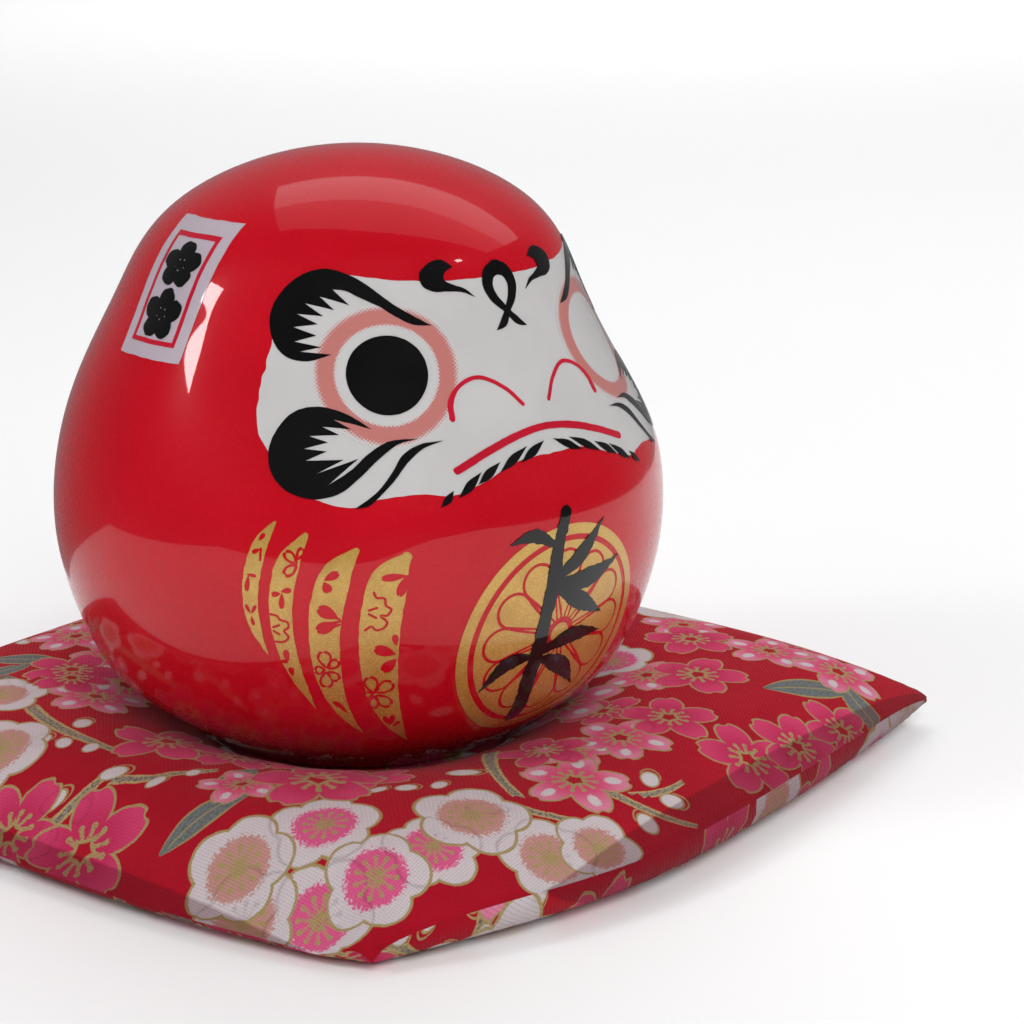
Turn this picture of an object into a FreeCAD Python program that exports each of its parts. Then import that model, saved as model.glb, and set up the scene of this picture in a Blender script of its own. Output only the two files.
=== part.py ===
import FreeCAD
import Part
import math
import os

# Daruma doll of glazed, slip-cast ceramic on a square cushion of printed cotton.
# Millimetres. The origin is the middle of the cushion's underside, +Z is up and the
# doll faces -Y. The doll's own right hand is on -X.

# ---- driving dimensions ----
WALL = 3.5                  # ceramic wall of the hollow doll
GLAZE = 0.25                # thickness of each layer of white glaze, transfer or brush colour
DOLL_X, DOLL_Y = -2.5, -3.7  # where the doll stands on the cushion
DOLL_Z = 8.4                # height of the doll's base above the floor
FOOT_RADIUS = 20.0          # inside of the unglazed foot ring
FOOT_RECESS = 1.2
VENT_RADIUS = 1.75          # firing vent in the base

CUSHION_HALF = 70.0         # half of the cushion's side
CUSHION_TURN = 11.0         # the cushion lies turned by this angle under the doll
SIDE_BULGE = 1.6            # the sides bow out between the corners
SEAM_Z = 6.3                # height of the edge seam above the floor
CROWN = 6.5                 # rise of the top panel above the seam
CLOTH = 0.5                 # thickness of each cloth panel
SEAT_RADIUS = 26.0          # flat of the dent under the doll
SEAT_SLOPE = 0.62           # rise of the dent's side
SEAM_LIP = 0.8              # half the height of the turned seam at the edge
FILL_GAP = 0.15             # filling to cloth
DOLL_GAP = 0.4              # doll to cloth

# The doll's plain silhouette, turned about its upright axis: control points (radius,
# height above the base) of a clamped cubic B-spline, foot ring to crown.
PROFILE = [
    (25.1, 0.0), (41.0, 9.5), (45.3, 16.8), (51.6, 35.3), (47.9, 57.1),
    (38.2, 73.5), (32.0, 88.5), (11.5, 96.2), (0.0, 96.2),
]
FACE_DEPTH = 2.6            # how far the face is set back from that silhouette
NOSE_RISE = 0.9
COLLAR_RISE = 0.7           # roll of the robe under the mouth
BROW_RISE = 0.6             # roll of the hood over the face

AZIMUTHS = 36               # control points around the doll
ROWS = 22                   # sections from the base to the crown


# ---- the doll's surface ----
def profile_curve():
    """The plain silhouette as a curve in the XZ plane."""
    curve = Part.BSplineCurve()
    spans = len(PROFILE) - 3
    poles = [FreeCAD.Vector(r, 0, z) for r, z in PROFILE]
    curve.buildFromPolesMultsKnots(
        poles, [4] + [1] * (spans - 1) + [4], list(range(spans + 1)), False, 3
    )
    return curve


SILHOUETTE = profile_curve()


def smooth(low, high, value):
    """0 below low, 1 above high, and an S between."""
    t = min(max((value - low) / (high - low), 0.0), 1.0)
    return t * t * (3 - 2 * t)


def hump(value, middle, width):
    return math.exp(-(((value - middle) / width) ** 2))


def relief(azimuth, z):
    """How far the modelled face stands out of the plain silhouette, at an azimuth in
    degrees from the front and a height above the base."""
    side = abs(azimuth)
    front = 1 - smooth(50, 85, side)
    face = FACE_DEPTH * smooth(45, 66, z) * (1 - smooth(66, 97, z))
    nose = NOSE_RISE * hump(azimuth, 0, 9) * hump(z, 67, 7)
    collar = COLLAR_RISE * hump(z, 47, 5) * (1 - smooth(15, 42, side))
    brow = BROW_RISE * hump(z, 84, 4) * (1 - smooth(30, 60, side))
    return (collar + brow + nose - face) * front


def closed_solid(faces):
    """Solid inside faces that meet edge to edge."""
    shell = Part.Shell(faces)
    shell.sewShape()
    return Part.makeSolid(shell)


def silhouette_point(step):
    """Radius, height and outward normal at a fraction of the way up the silhouette."""
    knot = step * (len(PROFILE) - 3)
    point = SILHOUETTE.value(knot)
    along = SILHOUETTE.tangent(knot)[0]
    return point.x, point.z, along.z, -along.x


def skin_solid(offset):
    """The doll's outer shape, moved outward by an offset, as one closed solid with its
    axis on Z and its base at z = 0."""
    steps = [row / (ROWS - 1) for row in range(ROWS)]
    sections = [silhouette_point(step) for step in steps]
    grid = []
    for index in range(AZIMUTHS):
        azimuth = 360.0 * index / AZIMUTHS
        signed = (azimuth + 180) % 360 - 180
        meridian = []
        for radius, z, out_r, out_z in sections:
            r = radius + offset * out_r + relief(signed, z) * (radius > 0.01)
            h = z + offset * out_z
            meridian.append((max(r, 0.0), h))
        meridian[0] = (meridian[0][0], 0.0)
        meridian[-1] = (0.0, meridian[-1][1])
        grid.append(meridian)
    columns = []
    curve = Part.BSplineCurve()
    for index, meridian in enumerate(grid):
        angle = math.radians(360.0 * index / AZIMUTHS)
        points = [
            FreeCAD.Vector(r * math.sin(angle), -r * math.cos(angle), h) for r, h in meridian
        ]
        curve.interpolate(Points=points, Parameters=steps)
        columns.append(curve.getPoles())
    poles = []
    for index, column in enumerate(columns):
        before = columns[index - 1]
        after = columns[(index + 1) % AZIMUTHS]
        poles.append([p * (4.0 / 3.0) - (a + b) * (1.0 / 6.0) for p, a, b in zip(column, before, after)])
    surface = Part.BSplineSurface()
    surface.buildFromPolesMultsKnots(
        poles, [1] * (AZIMUTHS + 1), curve.getMultiplicities(),
        list(range(AZIMUTHS + 1)), curve.getKnots(), True, False, 3, 3,
    )
    side = surface.toShape()
    rim = [e for e in side.Edges if abs(e.BoundBox.ZMax) < 0.01 and e.Length > 10]
    return closed_solid([side, Part.Face(Part.Wire(rim))])


def radius_at(azimuth, z):
    """Radius of the doll's skin at an azimuth and a height, by bisection up the
    silhouette, which rises all the way to its crown."""
    low, high = 0.0, 0.9
    for _ in range(40):
        middle = (low + high) / 2
        if silhouette_point(middle)[1] < z:
            low = middle
        else:
            high = middle
    return silhouette_point(low)[0] + relief(azimuth, z)


# ---- outlines drawn on the doll: each point is (azimuth in degrees, height in mm) ----
def flat(azimuth, z, middle):
    """Where a point of the skin falls on the upright plane that faces the middle azimuth."""
    return radius_at(azimuth, z) * math.sin(math.radians(azimuth - middle)), z


def plane_point(u, v, middle, depth):
    a = math.radians(middle)
    return FreeCAD.Vector(
        depth * math.sin(a) + u * math.cos(a), -depth * math.cos(a) + u * math.sin(a), v
    )


def prism(wire_edges, middle):
    """Solid that cuts an outline, drawn on the facing plane, through the skin."""
    face = Part.Face(Part.Wire(wire_edges))
    a = math.radians(middle)
    return face.extrude(FreeCAD.Vector(60 * math.sin(a), -60 * math.cos(a), 0))


def spline(points, middle):
    curve = Part.BSplineCurve()
    curve.interpolate([plane_point(u, v, middle, 8) for u, v in points])
    return curve.toShape()


def outline(arcs, middle):
    """Closed outline of smooth curves that meet at corners; each curve is a list of
    (azimuth, height) and starts where the last one ended."""
    return prism([spline([flat(a, z, middle) for a, z in arc], middle) for arc in arcs], middle)


def stroke(points, middle):
    """Brush stroke along (azimuth, height, half-width in mm)."""
    line = [flat(a, z, middle) for a, z, _ in points]
    left, right = [], []
    for index, (_, _, half) in enumerate(points):
        before = line[max(index - 1, 0)]
        after = line[min(index + 1, len(line) - 1)]
        du, dv = after[0] - before[0], after[1] - before[1]
        size = math.hypot(du, dv)
        u, v = line[index]
        left.append((u - dv / size * half, v + du / size * half))
        right.append((u + dv / size * half, v - du / size * half))
    edges = [spline(left, middle)]
    if points[-1][2] > 0:
        edges.append(Part.makeLine(plane_point(*left[-1], middle, 8), plane_point(*right[-1], middle, 8)))
    edges.append(spline(right[::-1], middle))
    if points[0][2] > 0:
        edges.append(Part.makeLine(plane_point(*right[0], middle, 8), plane_point(*left[0], middle, 8)))
    return prism(edges, middle)


def disc(azimuth, z, radius, slope):
    """Round mark of a true radius on a skin that leans back by a slope in degrees."""
    a = math.radians(azimuth)
    across = FreeCAD.Vector(math.cos(a), math.sin(a), 0)
    outward = FreeCAD.Vector(math.sin(a), -math.cos(a), 0)
    centre = plane_point(0, z, azimuth, 8)
    if slope == 0:
        return prism([Part.Circle(centre, outward, radius).toShape()], azimuth)
    ellipse = Part.Ellipse(
        centre + across * radius,
        centre + FreeCAD.Vector(0, 0, radius * math.cos(math.radians(slope))),
        centre,
    )
    return prism([ellipse.toShape()], azimuth)


def mirror(points):
    """The same marks on the doll's other side."""
    return [(-p[0],) + tuple(p[1:]) for p in points]


# ---- solids ----
def union(shapes):
    result = shapes[0]
    for shape in shapes[1:]:
        result = result.fuse(shape)
    return result


def placed(shape):
    """From the doll's own frame to its place on the cushion."""
    moved = shape.copy()
    moved.translate(FreeCAD.Vector(DOLL_X, DOLL_Y, DOLL_Z))
    return moved


def solids_only(shape):
    solids = shape.Solids
    return solids[0] if len(solids) == 1 else Part.makeCompound(solids)


def body_shell(outer):
    """Hollow cast shell with a foot ring and a firing vent."""
    floor = Part.makeBox(200, 200, 50, FreeCAD.Vector(-100, -100, FOOT_RECESS + WALL - 50))
    hollow = skin_solid(-WALL).cut(floor)
    recess = Part.makeCylinder(FOOT_RADIUS, FOOT_RECESS)
    vent = Part.makeCylinder(VENT_RADIUS, 20)
    return outer.cut(hollow).cut(recess).cut(vent)


FACE_HALF = [
    (0, 54.4), (-8, 54.1), (-16, 52.0), (-22, 50.6), (-28, 51.1), (-35, 50.6), (-40, 49.5),
    (-45, 50.3), (-50, 51.8), (-55, 56), (-58.2, 59.5), (-59.4, 64), (-58.9, 68.5),
    (-58.2, 72.5), (-57.5, 76.5), (-54, 80), (-48, 81.6), (-41.5, 81.3), (-35, 80.8),
    (-28, 80.3), (-21, 80), (-14, 79.8), (-7, 79.7), (0, 79.8),
]
BROW = [
    [(-21, 73.7), (-29.2, 76.7), (-37.2, 80.2), (-42, 81.5), (-47, 82), (-53, 81), (-57.5, 78.6),
     (-59.5, 75.5), (-58.2, 72), (-55, 69.8), (-50, 69.1), (-44.4, 70.1)],
    [(-44.4, 70.1), (-50.3, 70.9), (-51.2, 73), (-50.3, 75.3), (-47.8, 77.2), (-44, 78.2),
     (-38.2, 78), (-33.3, 76.6), (-27.5, 74.6), (-21, 73.7)],
]
CHEEK = [
    [(-36.2, 60), (-38.8, 61.2), (-42.3, 62.4), (-47, 63), (-51.5, 62.3), (-54.5, 60), (-55.7, 57),
     (-54.6, 54), (-52, 51.9), (-48.3, 50.8), (-44.8, 50.8), (-41.6, 51.7), (-38.5, 53.6),
     (-35, 56), (-31.4, 57.8), (-27.3, 58.5)],
    [(-27.3, 58.5), (-32.7, 58.2), (-36.7, 56.5), (-40.4, 54.3), (-44.6, 53.8), (-47, 55.6),
     (-47, 58), (-44.8, 59.9), (-41, 60.6), (-36.2, 60)],
]
CHEEK_HAIR = [
    (-22.5, 58, 0), (-26.9, 57.4, 0.35), (-30.2, 55.9, 0.6), (-32.5, 53.7, 0.65), (-35.2, 51.4, 0.6),
    (-39.4, 49.4, 0),
]
CURL = [
    [(-13.1, 81.7), (-16.2, 82.8), (-19.8, 82.4), (-22.5, 81.1), (-22.2, 79.4), (-19.3, 78.4),
     (-15.7, 78.3), (-11.7, 78), (-8.3, 77.1)],
    [(-8.3, 77.1), (-11, 78.5), (-13.6, 79.1), (-16.2, 80), (-15.6, 81), (-13.1, 81.7)],
]
LOOP = [
    (-4.7, 72.1, 0), (-2.2, 73, 0.55), (0.3, 74.8, 0.5), (2.9, 76.7, 0.75), (3.9, 78.6, 0.9),
    (2.6, 80.3, 1.0), (-0.5, 81, 1.0),
]
NOSE = [
    (-19.8, 60.8, 0.45), (-19.6, 62.8, 0.45), (-17.3, 64.9, 0.3), (-12.3, 66, 0.28),
    (-6.8, 64.2, 0.28), (-3.5, 61.6, 0.28),
]
MOUTH = [
    (-20.8, 53.8, 0.5), (-14, 55.9, 0.5), (-6.7, 57.5, 0.5), (0, 58.1, 0.48), (6.7, 57.5, 0.5),
    (14, 55.9, 0.5), (20.8, 53.8, 0.5),
]
WHISKERS = [
    [(-22, 51.2, 0), (-23.2, 50.1, 0.5), (-24.7, 49.1, 0)],
    [(-16.2, 53.3, 0), (-18.9, 51.6, 0.6), (-21.2, 50.2, 0)],
    [(-12, 54.3, 0), (-14.9, 52.9, 0.6), (-17.2, 51.7, 0)],
    [(-5.4, 55.9, 0), (-9.2, 54.4, 0.6), (-12.6, 52.9, 0)],
    [(-1.2, 56.2, 0), (-4.5, 55, 0.6), (-7.7, 53.8, 0)],
]
STRIPES = [
    [(-53.3, 47.3, 0.2), (-55.4, 44.6, 1), (-57.2, 40, 1.25), (-57.8, 35, 1.15), (-57.2, 30.8, 0.85),
     (-55.4, 26.3, 0)],
    [(-47.9, 45.6, 0.4), (-50.8, 41.6, 1.7), (-52.1, 37.4, 1.8), (-52.5, 33, 1.7), (-52, 28, 1.45),
     (-50.6, 23, 1.0), (-47.7, 17, 0)],
    [(-39.4, 43.4, 0.5), (-42.7, 39.8, 2.2), (-44.3, 35.6, 2.5), (-45.1, 30.5, 2.3), (-45, 25, 2.1),
     (-44, 20, 1.6), (-42, 16, 0.9), (-38.7, 12, 0)],
    [(-30.9, 42.2, 0.8), (-33.7, 39, 2.7), (-35, 34.8, 3), (-35.7, 29, 2.95), (-35.5, 22.8, 2.6),
     (-34, 17, 1.9), (-31.8, 13, 1.1), (-28.8, 9.6, 0)],
]
LEFT_SHIFT = 20             # the left stripes sit this many degrees further round
EYE_AZIMUTH = 32.3
EYE_Z = 67.2
EYE_SLOPE = 27
PUPIL_RADIUS = 6.1
RING_INNER = 7.8
RING_OUTER = 11.2

CREST_Z = 26.3
CREST_RADIUS = 17.6
CREST_BAND = 1.7
CREST_DISC = 15.0

LABEL_AZIMUTH = -89
LABEL_HALF = 7.3
LABEL_LOW, LABEL_HIGH = 67.6, 87.4
BORDER_INSET = 2.0
BORDER_WIDTH = 0.7


def layer(prisms, shape, below):
    """Marks cut out of a layer of the skin, less what lies under them."""
    marks = union(prisms).common(shape)
    for other in below:
        marks = marks.cut(other)
    return solids_only(marks)


def face_parts(outer, first, second):
    half = FACE_HALF
    other = mirror(half)[::-1]
    panel = layer([outline([half, other], 0)], first, [outer])
    under = [outer, panel]
    parts = {"face_panel": panel}
    for side, name in ((-1, "right"), (1, "left")):
        turn = mirror if side > 0 else list
        middle = 40 * side
        brow = layer([outline([turn(arc) for arc in BROW], middle)], second, under)
        cheek = layer([outline([turn(arc) for arc in CHEEK], middle)], second, under)
        hair = layer([stroke(turn(CHEEK_HAIR), middle)], second, under)
        curl = layer([outline([turn(arc) for arc in CURL], 16 * side)], second, under)
        nose = layer([stroke(turn(NOSE), 12 * side)], second, under)
        whiskers = layer([stroke(turn(line), 12 * side) for line in WHISKERS], second, under)
        parts["brow_" + name] = brow
        parts["cheek_whorl_" + name] = cheek
        parts["cheek_hair_" + name] = hair
        parts["forehead_curl_" + name] = curl
        parts["nose_line_" + name] = nose
        parts["lip_whiskers_" + name] = whiskers
        drawn = [brow, cheek, hair, nose]
        ring = disc(EYE_AZIMUTH * side, EYE_Z, RING_OUTER, EYE_SLOPE).cut(
            disc(EYE_AZIMUTH * side, EYE_Z, RING_INNER, EYE_SLOPE)
        )
        parts["eye_ring_" + name] = layer([ring], second, under + drawn)
    parts["pupil_right"] = layer([disc(-EYE_AZIMUTH, EYE_Z, PUPIL_RADIUS, EYE_SLOPE)], second, under)
    parts["forehead_loop"] = layer([stroke(LOOP, 0), stroke(mirror(LOOP), 0)], second, under)
    parts["mouth_line"] = layer([stroke(MOUTH, 0)], second, under)
    return parts


BAMBOO = [
    [(-4.5, 12, 1.3), (-5, 18, 1.4), (-4.6, 23, 1.3)],
    [(-4.4, 24, 1.4), (-4.2, 29, 1.2), (-3.2, 35, 1.3)],
    [(-3, 36, 1.4), (-2.2, 41, 1.1), (-0.5, 46, 1.0)],
    [(-3.6, 35.4, 0.3), (3, 38.5, 1.3), (9, 43.5, 0.0)],
    [(-3.2, 35.2, 0.3), (5, 34.5, 1.6), (14, 36.5, 0.0)],
    [(-3.4, 34.8, 0.3), (4, 31, 1.5), (11, 27.6, 0.0)],
    [(-4.6, 23.4, 0.3), (3.5, 25.2, 1.4), (12, 24.4, 0.0)],
    [(-4.8, 23, 0.3), (2.5, 20.2, 1.5), (9, 15.4, 0.0)],
    [(-5.2, 23.4, 0.3), (-11, 22.6, 1.3), (-16, 18.4, 0.0)],
    [(-2.4, 40.8, 0.3), (-7.5, 43.2, 1.1), (-12.5, 42.4, 0.0)],
]


def left_stripe(points):
    return [(azimuth + LEFT_SHIFT, z, half) for azimuth, z, half in mirror(points)]


def belly_parts(outer, first, second):
    ring = disc(0, CREST_Z, CREST_RADIUS, 0).cut(disc(0, CREST_Z, CREST_RADIUS - CREST_BAND, 0))
    band = layer([ring], first, [outer])
    centre = layer([disc(0, CREST_Z, CREST_DISC, 0)], first, [outer])
    parts = {"crest_band": band, "crest_disc": centre}
    parts["belly_brushwork"] = layer(
        [stroke(line, 0) for line in BAMBOO], second, [outer, band, centre]
    )
    for name, turn, middle in (("right", list, -45), ("left", left_stripe, 45 + LEFT_SHIFT)):
        parts["gold_stripes_" + name] = layer(
            [Part.makeCompound([stroke(turn(line), middle) for line in STRIPES])], first, [outer]
        )
    return parts


def label_frame(inset):
    """Upright rectangle of the label, drawn in by an inset."""
    u = LABEL_HALF - inset
    low, high = LABEL_LOW + inset, LABEL_HIGH - inset
    corners = [(-u, low), (u, low), (u, high), (-u, high), (-u, low)]
    return Part.makePolygon([plane_point(a, b, LABEL_AZIMUTH, 8) for a, b in corners]).Edges


def blossom(azimuth, z, petal, spread, slope):
    """Five round petals about a middle."""
    marks = []
    for n in range(5):
        a = 2 * math.pi * n / 5
        turn = math.degrees(spread * math.sin(a) / radius_at(azimuth, z))
        marks.append(disc(azimuth + turn, z + spread * math.cos(a) * math.cos(math.radians(slope)),
                          petal, slope))
    return union(marks)


def label_parts(outer, first, second):
    ground = layer([prism(label_frame(0), LABEL_AZIMUTH)], first, [outer])
    border = prism(label_frame(BORDER_INSET), LABEL_AZIMUTH).cut(
        prism(label_frame(BORDER_INSET + BORDER_WIDTH), LABEL_AZIMUTH)
    )
    marks = [blossom(LABEL_AZIMUTH, 81, 1.75, 2.6, 40), blossom(LABEL_AZIMUTH, 73.9, 1.75, 2.6, 28)]
    return {
        "label_ground": ground,
        "label_border": layer([border], second, [outer, ground]),
        "label_blossoms": layer(marks, second, [outer, ground]),
    }


# ---- the cushion ----
GRID = 45                   # points along each side of a panel


def cushion_plan(u, v, inset):
    """Plan position for a place on the panel, -1 to 1 each way, with bowed sides."""
    half = CUSHION_HALF - inset
    x = u * (half + SIDE_BULGE * (1 - v * v))
    y = v * (half + SIDE_BULGE * (1 - u * u))
    a = math.radians(CUSHION_TURN)
    return x * math.cos(a) - y * math.sin(a), x * math.sin(a) + y * math.cos(a)


def top_height(u, v, x, y):
    """The crowned top, pressed in under the doll."""
    crown = CROWN * (1 - abs(u) ** 3.4) * (1 - abs(v) ** 3.4)
    plump = SEAM_Z + SEAM_LIP + crown
    away = math.hypot(x - DOLL_X, y - DOLL_Y)
    seat = DOLL_Z - DOLL_GAP + SEAT_SLOPE * max(0.0, away - SEAT_RADIUS)
    return -math.log(math.exp(-plump) + math.exp(-seat))


def bottom_height(u, v, _x, _y):
    """Flat on the floor, rising to the seam round the edge."""
    flatness = (1 - abs(u) ** 6) * (1 - abs(v) ** 6)
    edge = SEAM_Z - SEAM_LIP
    return edge - (edge + 1.5) * flatness


def panel_face(height, inset, shift):
    rows = []
    for i in range(GRID):
        u = 2.0 * i / (GRID - 1) - 1
        row = []
        for j in range(GRID):
            v = 2.0 * j / (GRID - 1) - 1
            x, y = cushion_plan(u, v, inset)
            row.append(FreeCAD.Vector(x, y, height(u, v, x, y) + shift))
        rows.append(row)
    surface = Part.BSplineSurface()
    surface.interpolate(rows)
    return surface.toShape()


def pillow(inset, shift):
    """Solid inside the cushion's cloth, drawn in from the seam and from each panel."""
    top = panel_face(top_height, inset, -shift)
    bottom = panel_face(bottom_height, inset, shift)
    faces = [top, bottom]
    for upper in top.OuterWire.Edges:
        middle = upper.CenterOfMass
        lower = min(bottom.OuterWire.Edges,
                    key=lambda e: (e.CenterOfMass - middle).Length)
        faces.append(Part.makeRuledSurface(upper, lower))
    solid = closed_solid(faces)
    below = Part.makeBox(300, 300, 50, FreeCAD.Vector(-150, -150, shift - 50))
    return solid.cut(below)


def cushion_parts():
    whole = pillow(0, 0)
    inner = pillow(1.2, CLOTH)
    skin = whole.cut(inner)
    below = Part.makeBox(300, 300, 60, FreeCAD.Vector(-150, -150, SEAM_Z - 60))
    filling = pillow(3.5, CLOTH + FILL_GAP)
    return {
        "cushion_top": solids_only(skin.cut(below)),
        "cushion_bottom": solids_only(skin.common(below)),
        "cushion_filling": solids_only(filling),
        "closing_thread": closing_thread(),
    }


STITCH_COUNT = 14
STITCH_PITCH = 3.6
STITCH_RADIUS = 0.22
STITCH_HEIGHT = 1.8


def closing_thread():
    """Hand stitches that close the gap the cushion was filled through, in the back seam."""
    stitches = []
    a = math.radians(CUSHION_TURN)
    for n in range(STITCH_COUNT):
        u = (n - (STITCH_COUNT - 1) / 2) * STITCH_PITCH / CUSHION_HALF
        x, y = cushion_plan(u, 1.0, 0)
        place = FreeCAD.Vector(
            x - STITCH_RADIUS * math.sin(a), y + STITCH_RADIUS * math.cos(a),
            SEAM_Z - STITCH_HEIGHT / 2,
        )
        stitches.append(Part.makeCylinder(STITCH_RADIUS, STITCH_HEIGHT, place))
    return Part.makeCompound(stitches)


def main():
    os.makedirs("parts", exist_ok=True)
    outer = skin_solid(0)
    first = skin_solid(GLAZE)
    second = skin_solid(2 * GLAZE)
    doll = {"body_shell": body_shell(outer)}
    doll.update(face_parts(outer, first, second))
    doll.update(belly_parts(outer, first, second))
    doll.update(label_parts(outer, first, second))
    parts = {name: placed(shape) for name, shape in doll.items()}
    parts.update(cushion_parts())
    for name, shape in parts.items():
        shape.exportStep("parts/" + name + ".step")
        print(name, len(shape.Solids), round(shape.Volume, 2), shape.isValid())


main()
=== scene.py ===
import math
import random
import bpy
import numpy as np
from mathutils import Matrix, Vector, noise
from mathutils.geometry import delaunay_2d_cdt


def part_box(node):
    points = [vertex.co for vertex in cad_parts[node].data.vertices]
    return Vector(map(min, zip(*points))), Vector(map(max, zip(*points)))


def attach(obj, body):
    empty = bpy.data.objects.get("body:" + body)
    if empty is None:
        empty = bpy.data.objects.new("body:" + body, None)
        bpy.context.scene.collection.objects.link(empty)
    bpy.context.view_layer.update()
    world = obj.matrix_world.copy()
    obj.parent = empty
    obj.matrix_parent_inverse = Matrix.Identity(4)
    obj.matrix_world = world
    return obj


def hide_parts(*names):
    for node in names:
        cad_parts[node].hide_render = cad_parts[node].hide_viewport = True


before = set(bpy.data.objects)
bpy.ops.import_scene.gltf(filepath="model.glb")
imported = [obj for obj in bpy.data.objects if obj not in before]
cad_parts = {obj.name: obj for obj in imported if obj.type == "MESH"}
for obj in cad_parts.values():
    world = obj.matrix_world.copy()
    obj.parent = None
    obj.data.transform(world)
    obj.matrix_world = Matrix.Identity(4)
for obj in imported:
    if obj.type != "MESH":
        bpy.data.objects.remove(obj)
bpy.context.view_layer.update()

MM = 0.001

# ---- where the CAD says things are ----
body_low, body_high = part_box("body_shell")
DOLL_RADIUS = (body_high.x - body_low.x) / 2 / MM
BASE = np.array([(body_low.x + body_high.x) / 2, body_high.y - DOLL_RADIUS * MM, body_low.z])
CUSHION_TURN = math.radians(11.0)


# ---- numbers and curves ----
def smooth(low, high, value):
    t = np.clip((value - low) / (high - low), 0.0, 1.0)
    return t * t * (3 - 2 * t)


def hump(value, middle, width):
    return np.exp(-(((value - middle) / width) ** 2))


def through(points, step=0.35):
    """Smooth curve through points, as a list of points about a step apart."""
    p = np.array(points, float)
    if len(p) == 2:
        count = max(2, int(np.linalg.norm(p[1] - p[0]) / step))
        return [tuple(p[0] + (p[1] - p[0]) * i / count) for i in range(count + 1)]
    ends = np.vstack([2 * p[0] - p[1], p, 2 * p[-1] - p[-2]])
    curve = []
    for a, b, c, d in zip(ends, ends[1:], ends[2:], ends[3:]):
        k0 = max(np.linalg.norm(b - a), 1e-6) ** 0.5
        k1 = max(np.linalg.norm(c - b), 1e-6) ** 0.5
        k2 = max(np.linalg.norm(d - c), 1e-6) ** 0.5
        m1 = (c - b) + k1 * ((b - a) / k0 - (c - a) / (k0 + k1))
        m2 = (c - b) + k1 * ((d - c) / k2 - (d - b) / (k1 + k2))
        count = max(2, int(np.linalg.norm(c - b) / step))
        for i in range(count):
            t = i / count
            h = (2 * t**3 - 3 * t**2 + 1, t**3 - 2 * t**2 + t, 3 * t**2 - 2 * t**3, t**3 - t**2)
            curve.append(tuple(h[0] * b + h[1] * m1 + h[2] * c + h[3] * m2))
    return curve + [tuple(p[-1])]


# ---- the doll's skin, as in the CAD: millimetres, the doll's axis on Z, its base at z = 0 ----
PROFILE = np.array([
    (25.1, 0.0), (41.0, 9.5), (45.3, 16.8), (51.6, 35.3), (47.9, 57.1),
    (38.2, 73.5), (32.0, 88.5), (11.5, 96.2), (0.0, 96.2),
])
FACE_DEPTH = 2.6
NOSE_RISE = 0.9
COLLAR_RISE = 0.7
BROW_RISE = 0.6
WALL = 3.5
FOOT_RADIUS = 20.0
FOOT_RECESS = 1.2
VENT_RADIUS = 1.75


def silhouette(steps):
    """Points (radius, height) of the plain silhouette, a clamped cubic B-spline, at
    fractions 0 to 1 from the base to the crown."""
    count = len(PROFILE)
    knots = np.concatenate([[0] * 3, np.arange(count - 2), [count - 3] * 3]).astype(float)
    u = np.clip(np.asarray(steps, float), 0, 1 - 1e-9) * (count - 3)
    basis = np.array([(u >= knots[i]) & (u < knots[i + 1]) for i in range(len(knots) - 1)], float)
    for degree in (1, 2, 3):
        raised = []
        for i in range(len(basis) - 1):
            left = knots[i + degree] - knots[i]
            right = knots[i + degree + 1] - knots[i + 1]
            term = np.zeros_like(u)
            if left > 0:
                term = term + (u - knots[i]) / left * basis[i]
            if right > 0:
                term = term + (knots[i + degree + 1] - u) / right * basis[i + 1]
            raised.append(term)
        basis = np.array(raised)
    return basis.T @ PROFILE


TABLE = silhouette(np.linspace(0, 1, 4001))
RISING = int(TABLE[:, 1].argmax())


def relief(azimuth, z):
    """How far the modelled face stands out of the plain silhouette."""
    side = np.abs(azimuth)
    front = 1 - smooth(50, 85, side)
    face = FACE_DEPTH * smooth(45, 66, z) * (1 - smooth(66, 97, z))
    nose = NOSE_RISE * hump(azimuth, 0, 9) * hump(z, 67, 7)
    collar = COLLAR_RISE * hump(z, 47, 5) * (1 - smooth(15, 42, side))
    brow = BROW_RISE * hump(z, 84, 4) * (1 - smooth(30, 60, side))
    return (collar + brow + nose - face) * front


def skin_radius(azimuth, z):
    return np.interp(z, TABLE[:RISING, 1], TABLE[:RISING, 0]) + relief(azimuth, z)


def on_skin(azimuth, z, lift):
    """Places in the row frame, in metres, raised from the skin by a lift in millimetres,
    and the skin's own normals there."""
    azimuth, z = np.asarray(azimuth, float), np.asarray(z, float)
    r = skin_radius(azimuth, z)
    slope = (skin_radius(azimuth, z + 0.1) - skin_radius(azimuth, z - 0.1)) / 0.2
    turn = (skin_radius(azimuth + 0.1, z) - skin_radius(azimuth - 0.1, z)) / math.radians(0.2)
    a = np.radians(azimuth)
    out = np.stack([np.sin(a), -np.cos(a), np.zeros_like(a)], -1)
    along = np.stack([np.cos(a), np.sin(a), np.zeros_like(a)], -1)
    up = np.array([0, 0, 1.0])
    normal = out - along * (turn / r)[..., None] - up * slope[..., None]
    normal /= np.linalg.norm(normal, axis=-1, keepdims=True)
    place = out * r[..., None] + up * z[..., None]
    return BASE + (place + normal * lift) * MM, normal


def flat(azimuth, z, middle):
    """Where a point of the skin falls on the upright plane that faces the middle azimuth."""
    return float(skin_radius(azimuth, z) * math.sin(math.radians(azimuth - middle))), float(z)


def unflat(points, middle):
    """Azimuths and heights of points given on the plane that faces the middle azimuth."""
    p = np.asarray(points, float)
    u, z = p[:, 0], p[:, 1]
    azimuth = np.full(len(p), float(middle))
    for _ in range(12):
        share = np.clip(u / skin_radius(azimuth, z), -0.999, 0.999)
        azimuth = middle + np.degrees(np.arcsin(share))
    return azimuth, z


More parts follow.
